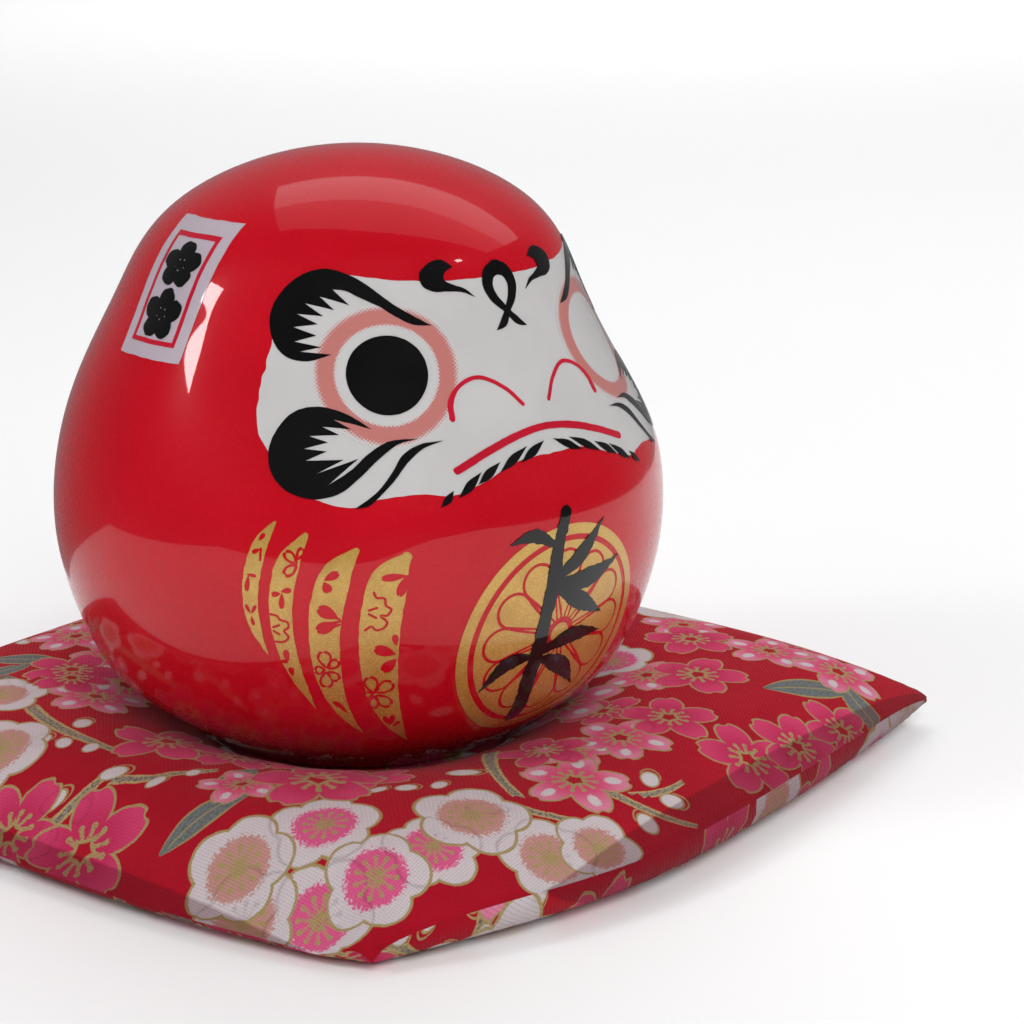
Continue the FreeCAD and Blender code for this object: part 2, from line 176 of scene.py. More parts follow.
# ---- meshes ----
def new_piece(name, vertices, faces, materials, body, nodes, smooth_angle=40):
    """Mesh that rides a body and stands for some of the CAD's nodes."""
    mesh = bpy.data.meshes.new(name)
    mesh.from_pydata([tuple(v) for v in vertices], [], [tuple(f) for f in faces])
    mesh.update()
    for material in materials:
        mesh.materials.append(material)
    mesh.polygons.foreach_set("use_smooth", [True] * len(mesh.polygons))
    mesh.set_sharp_from_angle(angle=math.radians(smooth_angle))
    piece = bpy.data.objects.new(name, mesh)
    bpy.context.scene.collection.objects.link(piece)
    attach(piece, body)
    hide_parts(*nodes)
    return piece


def inside(points, polygon):
    """Which points lie inside a polygon, by the even-odd rule."""
    x, y = points[:, 0], points[:, 1]
    found = np.zeros(len(points), bool)
    p = np.asarray(polygon)
    q = np.roll(p, -1, axis=0)
    for (x0, y0), (x1, y1) in zip(p, q):
        if y0 == y1:
            continue
        crosses = (y0 > y) != (y1 > y)
        found ^= crosses & (x < (x1 - x0) * (y - y0) / (y1 - y0) + x0)
    return found


def fill(layers, spacing):
    """Triangles of a flat figure, with points spread inside. The layers are laid in turn:
    each is a list of polygons and whether they add to the figure or cut it away."""
    polygons = [polygon for group, _ in layers for polygon in group]
    low = np.min([np.min(p, axis=0) for p in polygons], axis=0)
    high = np.max([np.max(p, axis=0) for p in polygons], axis=0)
    rows = np.arange(low[1], high[1], spacing)
    columns = np.arange(low[0], high[0], spacing)
    grid = np.array([(x + (j % 2) * spacing / 2, y) for j, y in enumerate(rows) for x in columns])
    vertices, edges = [], []
    for polygon in polygons:
        start, count = len(vertices), len(polygon)
        vertices += [Vector(p) for p in polygon]
        edges += [(start + i, start + (i + 1) % count) for i in range(count)]
    vertices += [Vector(p) for p in grid[solid_at(grid, layers)]]
    points, _, faces, *_ = delaunay_2d_cdt(vertices, edges, [], 0, 1e-5)
    points = np.array([tuple(p) for p in points])
    faces = np.array([f for f in faces if len(f) == 3])
    faces = faces[solid_at(points[faces].mean(axis=1), layers)]
    used, faces = np.unique(faces, return_inverse=True)
    return points[used], faces.reshape(-1, 3)


def solid_at(points, layers):
    solid = np.zeros(len(points), bool)
    for group, adds in layers:
        for polygon in group:
            solid[inside(points, polygon)] = adds
    return solid


SUNK = 0.05                 # how far the back of a mark lies under the skin, mm


def decal(name, layers, middle, lift, material, spacing=1.3):
    """Thin raised mark on the doll: a figure drawn on the plane that faces the middle
    azimuth, laid on the skin. It is a closed solid whose back is sunk into the skin."""
    points, faces = fill(layers, spacing)
    azimuth, z = unflat(points, middle)
    top, normals = on_skin(azimuth, z, lift)
    low, _ = on_skin(azimuth, z, -SUNK)
    first, second, third = (top[faces[:, i]] for i in range(3))
    if np.einsum("ij,ij->i", np.cross(second - first, third - first), normals[faces[:, 0]]).sum() < 0:
        faces = faces[:, ::-1]
    count = len(points)
    edges = {(f[i], f[(i + 1) % 3]) for f in faces.tolist() for i in range(3)}
    rim = sorted(edge for edge in edges if (edge[1], edge[0]) not in edges)
    walls = [(b, a, a + count, b + count) for a, b in rim]
    every = faces.tolist() + (faces[:, ::-1] + count).tolist() + walls
    piece = new_piece(name, np.vstack([top, low]), every, [material], "doll", [name])
    shade_top(piece, normals, len(faces))
    return piece, points


def shade_top(piece, normals, top_faces):
    """The first faces take the skin's own normals; the rest keep their flat ones."""
    mesh = piece.data
    flat_normals = [tuple(c.vector) for c in mesh.corner_normals]
    for polygon in mesh.polygons[:top_faces]:
        for loop in polygon.loop_indices:
            flat_normals[loop] = tuple(normals[mesh.loops[loop].vertex_index])
    mesh.normals_split_custom_set(flat_normals)


def mirrored(points):
    return [(-p[0],) + tuple(p[1:]) for p in points]


def loop_of(arcs, middle, step=0.3):
    """Closed polygon of smooth curves that meet at corners, from (azimuth, height) lists."""
    polygon = []
    for arc in arcs:
        polygon += through([flat(a, z, middle) for a, z in arc], step)[:-1]
    return polygon


def stroke(points, middle, step=0.3):
    """Brush stroke along (azimuth, height, half-width in mm), as a polygon."""
    return stroke_flat([(*flat(a, z, middle), w) for a, z, w in points], step)


def half_turn(point, direction):
    """Round end of a stroke, from its left side to its right about (u, v, half-width)."""
    start = math.atan2(direction[1], direction[0]) + math.pi / 2
    angles = [start - math.pi * i / 6 for i in range(1, 6)]
    return [(point[0] + point[2] * math.cos(a), point[1] + point[2] * math.sin(a)) for a in angles]


def stroke_flat(points, step=0.3):
    """The same, from points already on the plane."""
    line = np.array(through(points, step))
    along = np.gradient(line[:, :2], axis=0)
    along /= np.maximum(np.linalg.norm(along, axis=1, keepdims=True), 1e-9)
    side = np.stack([-along[:, 1], along[:, 0]], -1) * np.maximum(line[:, 2:3], 0.004)
    polygon = [tuple(p) for p in line[:, :2] + side]
    if line[-1][2] > 0.12:
        polygon += half_turn(line[-1], along[-1])
    polygon += [tuple(p) for p in (line[:, :2] - side)[::-1]]
    if line[0][2] > 0.12:
        polygon += half_turn(line[0], -along[0])
    return polygon


def ring(u, v, across, high, count=72):
    return [
        (u + across * math.cos(2 * math.pi * i / count), v + high * math.sin(2 * math.pi * i / count))
        for i in range(count)
    ]


# ---- materials ----
class Value:
    """A socket in a material's node tree that can be added, multiplied and so on."""

    def __init__(self, tree, socket):
        self.tree = tree
        self.socket = socket

    def math(self, operation, *others):
        node = self.tree.nodes.new("ShaderNodeMath")
        node.operation = operation
        for slot, value in zip(node.inputs, (self,) + others):
            put(self.tree, slot, value)
        return Value(self.tree, node.outputs[0])

    def __add__(self, other):
        return self.math("ADD", other)

    def __sub__(self, other):
        return self.math("SUBTRACT", other)

    def __rsub__(self, other):
        return (self * -1).math("ADD", other)

    def __mul__(self, other):
        return self.math("MULTIPLY", other)

    def __truediv__(self, other):
        return self.math("DIVIDE", other)

    __radd__ = __add__
    __rmul__ = __mul__

    def ramp(self, low, high):
        """0 at low, 1 at high, smooth between them; low may be above high."""
        node = self.tree.nodes.new("ShaderNodeMapRange")
        node.interpolation_type = "SMOOTHSTEP"
        put(self.tree, node.inputs["Value"], self)
        put(self.tree, node.inputs["From Min"], low)
        put(self.tree, node.inputs["From Max"], high)
        return Value(self.tree, node.outputs["Result"])


def put(tree, slot, value):
    if isinstance(value, Value):
        tree.links.new(value.socket, slot)
    else:
        slot.default_value = value


def paint(tree, share, under, over):
    """Colour that goes from under to over by a share of 0 to 1."""
    node = tree.nodes.new("ShaderNodeMix")
    node.data_type = "RGBA"
    put(tree, node.inputs[0], share)
    put(tree, node.inputs[6], under)
    put(tree, node.inputs[7], over)
    return Value(tree, node.outputs[2])


def split(tree, vector):
    node = tree.nodes.new("ShaderNodeSeparateXYZ")
    put(tree, node.inputs[0], vector)
    return [Value(tree, out) for out in node.outputs]


def joined(tree, x, y, z=0.0):
    node = tree.nodes.new("ShaderNodeCombineXYZ")
    for slot, value in zip(node.inputs, (x, y, z)):
        put(tree, slot, value)
    return Value(tree, node.outputs[0])


def place(tree):
    """The point's own place in the row frame, in metres."""
    node = tree.nodes.new("ShaderNodeTexCoord")
    return Value(tree, node.outputs["Object"])


def attribute(tree, name):
    node = tree.nodes.new("ShaderNodeAttribute")
    node.attribute_name = name
    return Value(tree, node.outputs["Vector"])


def noisy(tree, vector, scale, detail=2.0, rough=0.5):
    node = tree.nodes.new("ShaderNodeTexNoise")
    put(tree, node.inputs["Vector"], vector)
    node.inputs["Scale"].default_value = scale
    node.inputs["Detail"].default_value = detail
    node.inputs["Roughness"].default_value = rough
    return Value(tree, node.outputs["Fac"])


def cells(tree, vector, scale):
    """Distance to the nearest of scattered points, in cells."""
    node = tree.nodes.new("ShaderNodeTexVoronoi")
    put(tree, node.inputs["Vector"], vector)
    node.inputs["Scale"].default_value = scale
    return Value(tree, node.outputs["Distance"])


def bump(tree, height, distance, strength=1.0, after=None):
    """Normal from a height; the distance is in metres for a height of 1."""
    node = tree.nodes.new("ShaderNodeBump")
    node.inputs["Strength"].default_value = strength
    node.inputs["Distance"].default_value = distance
    put(tree, node.inputs["Height"], height)
    if after is not None:
        put(tree, node.inputs["Normal"], after)
    return Value(tree, node.outputs[0])


def finish(made, **sockets):
    """The material, with values or other sockets put into its shader's sockets."""
    tree = made.node_tree
    for key, value in sockets.items():
        put(tree, tree.nodes["Principled BSDF"].inputs[key.replace("_", " ")], value)
    return made


def material(name, **uniform):
    """New material with uniform values of its shader's sockets, and its node tree."""
    made = bpy.data.materials.new(name)
    made.use_nodes = True
    return finish(made, **uniform), made.node_tree


GLAZE = {"Coat_Roughness": 0.03, "Coat_IOR": 1.5, "Specular_IOR_Level": 0.06}


def glazed(name, colour, shade, rough=0.12, coat=0.8, freckle=0.0):
    """Fired ceramic colour under clear glaze, a little uneven."""
    made, tree = material(name, Coat_Weight=coat, **GLAZE)
    p = place(tree)
    cloudy = noisy(tree, p, 90.0, 3.0)
    fine = noisy(tree, p, 1400.0, 2.0)
    base = paint(tree, cloudy.ramp(0.35, 0.7), shade, colour)
    if freckle:
        base = paint(tree, fine.ramp(0.56, 0.7) * freckle, base, shade)
    skin = bump(tree, noisy(tree, p, 75.0, 1.0), 0.00006)
    return finish(made, Base_Color=base, Roughness=fine * 0.1 + rough, Normal=skin, Coat_Normal=skin)


def red_glaze():
    """Deep red glaze, painted darker and browner towards the foot as painted shade where the body turns
    under.
    """
    made, tree = material("red_glaze", Coat_Weight=0.62, **GLAZE)
    p = place(tree)
    height = split(tree, p)[2]
    cloudy = noisy(tree, p, 45.0, 3.0)
    fine = noisy(tree, p, 1500.0, 2.0)
    # painted shade: share of the dark foot colour, growing towards the base
    low = height.ramp(BASE[2] + 0.034, BASE[2] + 0.002)
    base = paint(tree, cloudy.ramp(0.3, 0.75), (0.49, 0.0030, 0.011, 1), (0.54, 0.0040, 0.014, 1))
    base = paint(tree, low * 0.5, base, (0.24, 0.0008, 0.004, 1))
    base = paint(tree, fine.ramp(0.70, 0.82) * 0.06, base, (0.44, 0.003, 0.006, 1))
    skin = bump(tree, noisy(tree, p, 60.0, 1.0), 0.00007)
    return finish(made, Base_Color=base, Roughness=fine * 0.06 + 0.24, Normal=skin, Coat_Normal=skin)


def bare_ceramic():
    made, tree = material("bare_ceramic", Specular_IOR_Level=0.25)
    p = place(tree)
    grain = noisy(tree, p, 2200.0, 3.0)
    specks = cells(tree, p, 900.0).ramp(0.16, 0.1)
    base = paint(tree, noisy(tree, p, 160.0).ramp(0.3, 0.7), (0.62, 0.56, 0.47, 1), (0.72, 0.67, 0.58, 1))
    base = paint(tree, specks * 0.4, base, (0.36, 0.27, 0.19, 1))
    return finish(made, Base_Color=base, Roughness=grain * 0.2 + 0.7, Normal=bump(tree, grain, 0.00008))


def gold_transfer():
    """Gold print: flat yellow-gold high on the doll, painted browner and darker lower down as painted shade.
    """
    made, tree = material("gold_transfer", Coat_Weight=0.6, Coat_Roughness=0.08, Metallic=0.45)
    p = place(tree)
    height = split(tree, p)[2]
    grain = noisy(tree, p, 3800.0, 2.0)
    # painted shade: the gold turns browner and darker towards the foot
    base = paint(tree, height.ramp(BASE[2] + 0.008, BASE[2] + 0.046),
                 (0.43, 0.175, 0.025, 1), (0.60, 0.36, 0.075, 1))
    base = paint(tree, grain.ramp(0.42, 0.66) * 0.45, base, (0.80, 0.52, 0.16, 1))
    base = paint(tree, noisy(tree, p, 240.0).ramp(0.5, 0.75) * 0.3, base, (0.38, 0.16, 0.03, 1))
    return finish(made, Base_Color=base, Roughness=grain * 0.25 + 0.22, Normal=bump(tree, grain, 0.00003))


def eye_ring(side):
    """Pink stipple round the eye, dense at its inner edge and lost into the white."""
    made, tree = material("pink_transfer_" + side, Coat_Weight=1.0, **GLAZE)
    across, up, _ = split(tree, attribute(tree, "eye_place"))
    far = (across * across + up * up).math("SQRT")
    p = place(tree)
    # rows of dots, turned by 45 degrees
    row = (across + up) * (0.7071 / DOT_PITCH)
    column = (across - up) * (0.7071 / DOT_PITCH)
    dx = row.math("FRACT") - 0.5
    dy = column.math("FRACT") - 0.5
    dot = (dx * dx + dy * dy).math("SQRT")
    tone = far.ramp(EYE_RING_OUTER + 0.3, EYE_RING_INNER + 1.9) * 0.76
    tone = tone * far.ramp(EYE_RING_INNER - 0.2, EYE_RING_INNER + 0.8)
    tone = tone + (noisy(tree, p, 1300.0) - 0.5) * 0.22
    ink = (tone - dot).ramp(-0.10, 0.10)
    base = paint(tree, ink * 0.9, WHITE, (0.50, 0.145, 0.125, 1))
    base = paint(tree, tone.ramp(0.1, 0.7) * 0.45, base, (0.51, 0.17, 0.15, 1))
    return finish(
        made, Base_Color=base, Roughness=noisy(tree, p, 1400.0) * 0.1 + 0.12,
        Normal=bump(tree, noisy(tree, p, 260.0), 0.00004),
    )


WHITE = (0.57, 0.555, 0.55, 1)
EYE_RING_INNER = 7.5
EYE_RING_OUTER = 11.2
DOT_PITCH = 0.42

RED_GLAZE = red_glaze()
BARE = bare_ceramic()
WHITE_GLAZE = glazed("white_glaze", WHITE, (0.54, 0.525, 0.52, 1))
BLACK = glazed("black_transfer", (0.0035, 0.0035, 0.004, 1), (0.006, 0.0058, 0.0058, 1), rough=0.2)
RED_MARK = glazed("red_transfer", (0.55, 0.012, 0.035, 1), (0.47, 0.008, 0.025, 1))
GOLD = gold_transfer()
LABEL_WHITE = glazed("label_white", (0.50, 0.425, 0.48, 1), (0.46, 0.39, 0.45, 1), freckle=0.2)


# ---- the ceramic body ----
AROUND = 288
OUTER_ROWS = 190
INNER_ROWS = 30


def body_rings():
    """Rings of (radius, height, share of the face relief) from the crown down the outside,
    across the foot and up the inside."""
    rings = []
    for step in np.linspace(1, 0, OUTER_ROWS + 1)[1:]:
        r, z = silhouette([step])[0]
        rings.append((r, z, 1.0))
    floor = FOOT_RECESS + WALL
    rings += [
        (24.7, 0.0, 0.0), (22.5, 0.0, 0.0), (20.3, 0.0, 0.0), (20.0, 0.3, 0.0),
        (19.8, 1.1, 0.0), (19.4, FOOT_RECESS, 0.0), (10.0, FOOT_RECESS, 0.0),
        (2.1, FOOT_RECESS, 0.0), (VENT_RADIUS, 1.6, 0.0), (VENT_RADIUS, 4.4, 0.0), (2.1, floor, 0.0),
        (16.0, floor, 0.0),
    ]
    for step in np.linspace(0.09, 1, INNER_ROWS + 1)[:-1]:
        r, z = silhouette([step])[0]
        ahead, behind = silhouette([min(step + 0.01, 1)])[0], silhouette([step - 0.01])[0]
        along = (ahead - behind) / np.linalg.norm(ahead - behind)
        inner = (r - WALL * along[1], max(z + WALL * along[0], floor), 1.0)
        if inner[0] > 0.5:
            rings.append(inner)
    return rings


def ceramic_body():
    rings = body_rings()
    azimuths = np.arange(AROUND) * 360.0 / AROUND
    signed = (azimuths + 180) % 360 - 180
    a = np.radians(azimuths)
    vertices = [[0, 0, TABLE[-1, 1]]]
    for r, z, share in rings:
        stand = relief(signed, z) * share * (1 if r > 6 else r / 6)
        radius = r + stand
        vertices += np.stack([radius * np.sin(a), -radius * np.cos(a), np.full(AROUND, z)], -1).tolist()
    vertices.append([0, 0, TABLE[-1, 1] - WALL])
    last = len(vertices) - 1
    faces = [(0, 1 + i, 1 + (i + 1) % AROUND) for i in range(AROUND)]
    for k in range(len(rings) - 1):
        low = 1 + k * AROUND
        for i in range(AROUND):
            j = (i + 1) % AROUND
            faces.append((low + i, low + AROUND + i, low + AROUND + j, low + j))
    low = 1 + (len(rings) - 1) * AROUND
    faces += [(low + i, last, low + (i + 1) % AROUND) for i in range(AROUND)]
    piece = new_piece(
        "body", BASE + np.array(vertices) * MM, faces, [RED_GLAZE, BARE], "doll",
        ["body_shell"], smooth_angle=50,
    )
    outer_faces = AROUND * OUTER_ROWS
    index = np.zeros(len(piece.data.polygons), np.int32)
    index[outer_faces:] = 1
    piece.data.polygons.foreach_set("material_index", index)


ceramic_body()


# ---- the painted face: outlines are (azimuth in degrees, height in mm), right side ----
PANEL_LIFT = 0.08
RING_LIFT = 0.13
MARK_LIFT = 0.19

FACE_HALF = [
    (0, 54.4), (-8, 54.1), (-16, 52.0), (-22, 50.6), (-28, 51.1), (-35, 50.6), (-40, 49.5),
    (-45, 50.3), (-50, 51.8), (-55, 56), (-58.2, 59.5), (-59.4, 64), (-58.9, 68.5),
    (-58.2, 72.5), (-57.5, 76.5), (-54, 80), (-48, 81.6), (-41.5, 81.3), (-35, 80.8),
    (-28, 80.3), (-21, 80), (-14, 79.8), (-7, 79.7), (0, 79.8),
]
BROW_TOP = [
    (-21, 73.7), (-29.2, 76.7), (-37.2, 80.2), (-42, 81.5), (-47, 82), (-53, 81), (-57.5, 78.6),
    (-59.5, 75.5), (-58.2, 72), (-55, 69.8), (-50, 69.1), (-44.4, 70.1),
]
BROW_COMB = [
    (-44.4, 70.1), (-51.8, 70.4), (-46.8, 71.1), (-53.2, 71.8), (-48.1, 72.7), (-53.7, 73.8),
    (-47.9, 74.3), (-53.2, 75.7), (-46.7, 75.4), (-51.4, 77.2), (-44.1, 76.3), (-47.8, 78.2),
    (-40.5, 77), (-44.7, 79.2),
]
BROW_TAIL = [
    (-44.7, 79.2), (-41.5, 79), (-38.2, 78.1), (-33.3, 76.7), (-29.4, 75.2), (-25.5, 74), (-21, 73.7),
]
CHEEK_BACK = [
    (-36.2, 60), (-38.8, 61.2), (-42.3, 62.4), (-47, 63), (-51.5, 62.3), (-54.5, 60), (-55.7, 57),
    (-54.6, 54), (-52, 51.9), (-48.3, 50.8), (-44.8, 50.8), (-41.6, 51.7), (-38.5, 53.6),
    (-35, 56), (-31.4, 57.8), (-27.3, 58.5),
]
CHEEK_FRONT = [(-27.3, 58.5), (-32.9, 58.3), (-36.8, 56.8), (-40.3, 54.5), (-44.2, 52.6)]
CHEEK_COMB = [
    (-44.2, 52.6), (-38.8, 56.1), (-46.4, 54.1), (-41.5, 56), (-48.6, 55.8), (-44.7, 57.1),
    (-49.1, 57.4), (-44.5, 58.3), (-48.3, 59.1), (-42.4, 59.3), (-45.8, 60.4), (-40.1, 60),
    (-43.5, 61.3), (-36.2, 60),
]
HAIR_TOP = [(-22.5, 58), (-27.1, 57.7), (-30.6, 56.4), (-32.7, 54.2), (-35.3, 51.8), (-39.4, 49.4)]
HAIR_LOW = [(-39.4, 49.4), (-37.1, 49.7), (-34.7, 51.3), (-32.1, 53.3), (-29.7, 55.4), (-26.6, 57.1),
            (-22.5, 58)]
CURL_TOP = [(-13.1, 81.7), (-16.2, 82.8), (-19.8, 82.4), (-22.5, 81.1), (-22.2, 79.4), (-19.3, 78.4),
            (-15.7, 78.3), (-11.7, 78), (-8.3, 77.1)]
CURL_LOW = [(-8.3, 77.1), (-11, 78.5), (-13.6, 79.1), (-16.2, 80), (-15.6, 81), (-13.1, 81.7)]
LOOP = [
    (-4.7, 72.1, 0), (-2.2, 73, 0.55), (0.3, 74.8, 0.5), (2.9, 76.7, 0.75), (3.9, 78.6, 0.9),
    (2.6, 80.3, 1.0), (-0.5, 81, 1.0),
]
NOSE = [
    (-19.8, 60.8, 0.45), (-19.6, 62.8, 0.45), (-17.3, 64.9, 0.3), (-12.3, 66, 0.28),
    (-6.8, 64.2, 0.28), (-3.5, 61.6, 0.28),
]
MOUTH = [
    (-20.8, 53.8, 0.5), (-14, 55.9, 0.5), (-6.7, 57.5, 0.5), (0, 58.1, 0.48), (6.7, 57.5, 0.5),
    (14, 55.9, 0.5), (20.8, 53.8, 0.5),
]
WHISKERS = [
    [(-22, 51.2, 0), (-23.2, 50.1, 0.5), (-24.7, 49.1, 0)],
    [(-16.2, 53.3, 0), (-18.9, 51.6, 0.6), (-21.2, 50.2, 0)],
    [(-12, 54.3, 0), (-14.9, 52.9, 0.6), (-17.2, 51.7, 0)],
    [(-5.4, 55.9, 0), (-9.2, 54.4, 0.6), (-12.6, 52.9, 0)],
    [(-1.2, 56.2, 0), (-4.5, 55, 0.6), (-7.7, 53.8, 0)],
]
EYE_AZIMUTH = 32.3
EYE_Z = 67.2
EYE_SLOPE = math.cos(math.radians(27))
PUPIL_RADIUS = 6.1


def corners(points, middle):
    return [flat(a, z, middle) for a, z in points]


def ragged(polygon, amount, grain):
    """Hand-painted edge: each point moves a little, alike for its neighbours."""
    moved = []
    for u, v in polygon:
        du = noise.noise((u / grain, v / grain, 3.1))
        dv = noise.noise((u / grain, v / grain, 7.7))
        moved.append((u + amount * du, v + amount * dv))
    return moved


def round_mark(azimuth, z, radius, lean):
    u, v = flat(azimuth, z, azimuth)
    return ring(u, v, radius, radius * lean, 96)


def face():
    half = loop_of([FACE_HALF], 0)
    whole = half + [flat(0, 79.8, 0)] + [(-u, v) for u, v in half[:0:-1]]
    decal("face_panel", [([ragged(whole, 0.14, 1.6)], True)], 0, PANEL_LIFT, WHITE_GLAZE)
    for side, name in ((-1, "_right"), (1, "_left")):
        turn = list if side < 0 else mirrored
        middle = 40 * side
        brow = loop_of([turn(BROW_TOP)], middle) + corners(turn(BROW_COMB)[:-1], middle)
        brow += loop_of([turn(BROW_TAIL)], middle)
        mark("brow" + name, [brow], middle)
        cheek = loop_of([turn(CHEEK_BACK), turn(CHEEK_FRONT)], middle)
        mark("cheek_whorl" + name, [cheek + corners(turn(CHEEK_COMB)[:-1], middle)], middle)
        mark("cheek_hair" + name, [loop_of([turn(HAIR_TOP), turn(HAIR_LOW)], middle)], middle)
        mark("forehead_curl" + name, [loop_of([turn(CURL_TOP), turn(CURL_LOW)], 16 * side)], 16 * side)
        mark("lip_whiskers" + name, [stroke(turn(w), 12 * side) for w in WHISKERS], 12 * side)
        mark("nose_line" + name, [stroke(turn(NOSE), 12 * side)], 12 * side, RED_MARK)
        outer = round_mark(EYE_AZIMUTH * side, EYE_Z, EYE_RING_OUTER, EYE_SLOPE)
        inner = round_mark(EYE_AZIMUTH * side, EYE_Z, EYE_RING_INNER, EYE_SLOPE)
        piece, points = decal(
            "eye_ring" + name, [([outer], True), ([inner], False)], EYE_AZIMUTH * side, RING_LIFT,
            eye_ring(name[1:]), spacing=1.0,
        )
        spot = piece.data.attributes.new("eye_place", "FLOAT_VECTOR", "POINT")
        across = np.stack([points[:, 0], (points[:, 1] - EYE_Z) / EYE_SLOPE, 0 * points[:, 0]], -1)
        spot.data.foreach_set("vector", np.vstack([across, across]).ravel())
    mark("pupil_right", [round_mark(-EYE_AZIMUTH, EYE_Z, PUPIL_RADIUS, EYE_SLOPE)], -EYE_AZIMUTH)
    mark("forehead_loop", [stroke(LOOP, 0), stroke(mirrored(LOOP), 0)], 0)
    mark("mouth_line", [stroke(MOUTH, 0)], 0, RED_MARK)


def mark(name, polygons, middle, material=None):
    layers = [([ragged(p, 0.04, 0.9) for p in polygons], True)]
    decal(name, layers, middle, MARK_LIFT, material or BLACK)


face()


# ---- the crest, the brushwork, the gold stripes and the label ----
GOLD_LIFT = 0.07
BRUSH_LIFT = 0.16
CREST_Z = 26.3
CREST_RADIUS = 17.6
CREST_BAND = 1.7
CREST_DISC = 15.0
PETALS = 12
PETAL_TIP = 13.7
PETAL_LINE = 0.25
CENTRE_RADIUS = 1.7
HALO_RADIUS = 2.7


def polar(radius, degrees, z=CREST_Z):
    a = math.radians(degrees)
    return radius * math.sin(a), z + radius * math.cos(a)


def crest_petal(turn, grow):
    """Wedge with a round end, grown or shrunk by half the width of the line round it."""
    half = 180.0 / PETALS
    share = math.sin(math.radians(half))
    middle = PETAL_TIP / (1 + share)
    cap = middle * share + grow
    u0, v0 = polar(middle, turn, 0)
    points = [polar(max(-grow, 0) / share + 1.4, turn)]
    for i in range(-9, 10):
        a = math.radians(turn + i * (90 + half) / 10)
        points.append((u0 + cap * math.sin(a), CREST_Z + v0 + cap * math.cos(a)))
    return points


def crest():
    outer = ring(0, CREST_Z, CREST_RADIUS, CREST_RADIUS, 144)
    inner = ring(0, CREST_Z, CREST_RADIUS - CREST_BAND, CREST_RADIUS - CREST_BAND, 144)
    decal("crest_band", [([outer], True), ([inner], False)], 0, GOLD_LIFT, GOLD, 1.0)
    turns = [360.0 * k / PETALS for k in range(PETALS)]
    ticks = []
    for k in range(2 * PETALS):
        turn = 180.0 * (k + 0.5) / PETALS
        length = 5.6 if k % 2 else 4.4
        ticks.append(stroke_flat([(*polar(HALO_RADIUS - 0.2, turn), 0.16), (*polar(length, turn), 0.02)]))
    layers = [
        ([ring(0, CREST_Z, CREST_DISC, CREST_DISC, 144)], True),
        ([crest_petal(turn, PETAL_LINE) for turn in turns], False),
        ([crest_petal(turn, -PETAL_LINE) for turn in turns], True),
        ([ring(0, CREST_Z, HALO_RADIUS, HALO_RADIUS, 48)] + ticks, False),
        ([ring(0, CREST_Z, CENTRE_RADIUS, CENTRE_RADIUS, 48)], True),
    ]
    decal("crest_disc", layers, 0, GOLD_LIFT, GOLD, 1.0)


BAMBOO = [
    [(-4.5, 12, 1.3), (-5, 18, 1.4), (-4.6, 23, 1.3)],
    [(-4.4, 24, 1.4), (-4.2, 29, 1.2), (-3.2, 35, 1.3)],
    [(-3, 36, 1.4), (-2.2, 41, 1.1), (-0.5, 46, 1.0)],
    [(-3.6, 35.4, 0.3), (3, 38.5, 1.3), (9, 43.5, 0.0)],
    [(-3.2, 35.2, 0.3), (5, 34.5, 1.6), (14, 36.5, 0.0)],
    [(-3.4, 34.8, 0.3), (4, 31, 1.5), (11, 27.6, 0.0)],
    [(-4.6, 23.4, 0.3), (3.5, 25.2, 1.4), (12, 24.4, 0.0)],
    [(-4.8, 23, 0.3), (2.5, 20.2, 1.5), (9, 15.4, 0.0)],
    [(-5.2, 23.4, 0.3), (-11, 22.6, 1.3), (-16, 18.4, 0.0)],
    [(-2.4, 40.8, 0.3), (-7.5, 43.2, 1.1), (-12.5, 42.4, 0.0)],
]
STRIPES = [
    [(-53.3, 47.3, 0.2), (-55.4, 44.6, 1), (-57.2, 40, 1.25), (-57.8, 35, 1.15), (-57.2, 30.8, 0.85),
     (-55.4, 26.3, 0)],
    [(-47.9, 45.6, 0.4), (-50.8, 41.6, 1.7), (-52.1, 37.4, 1.8), (-52.5, 33, 1.7), (-52, 28, 1.45),
     (-50.6, 23, 1.0), (-47.7, 17, 0)],
    [(-39.4, 43.4, 0.5), (-42.7, 39.8, 2.2), (-44.3, 35.6, 2.5), (-45.1, 30.5, 2.3), (-45, 25, 2.1),
     (-44, 20, 1.6), (-42, 16, 0.9), (-38.7, 12, 0)],
    [(-30.9, 42.2, 0.8), (-33.7, 39, 2.7), (-35, 34.8, 3), (-35.7, 29, 2.95), (-35.5, 22.8, 2.6),
     (-34, 17, 1.9), (-31.8, 13, 1.1), (-28.8, 9.6, 0)],
]


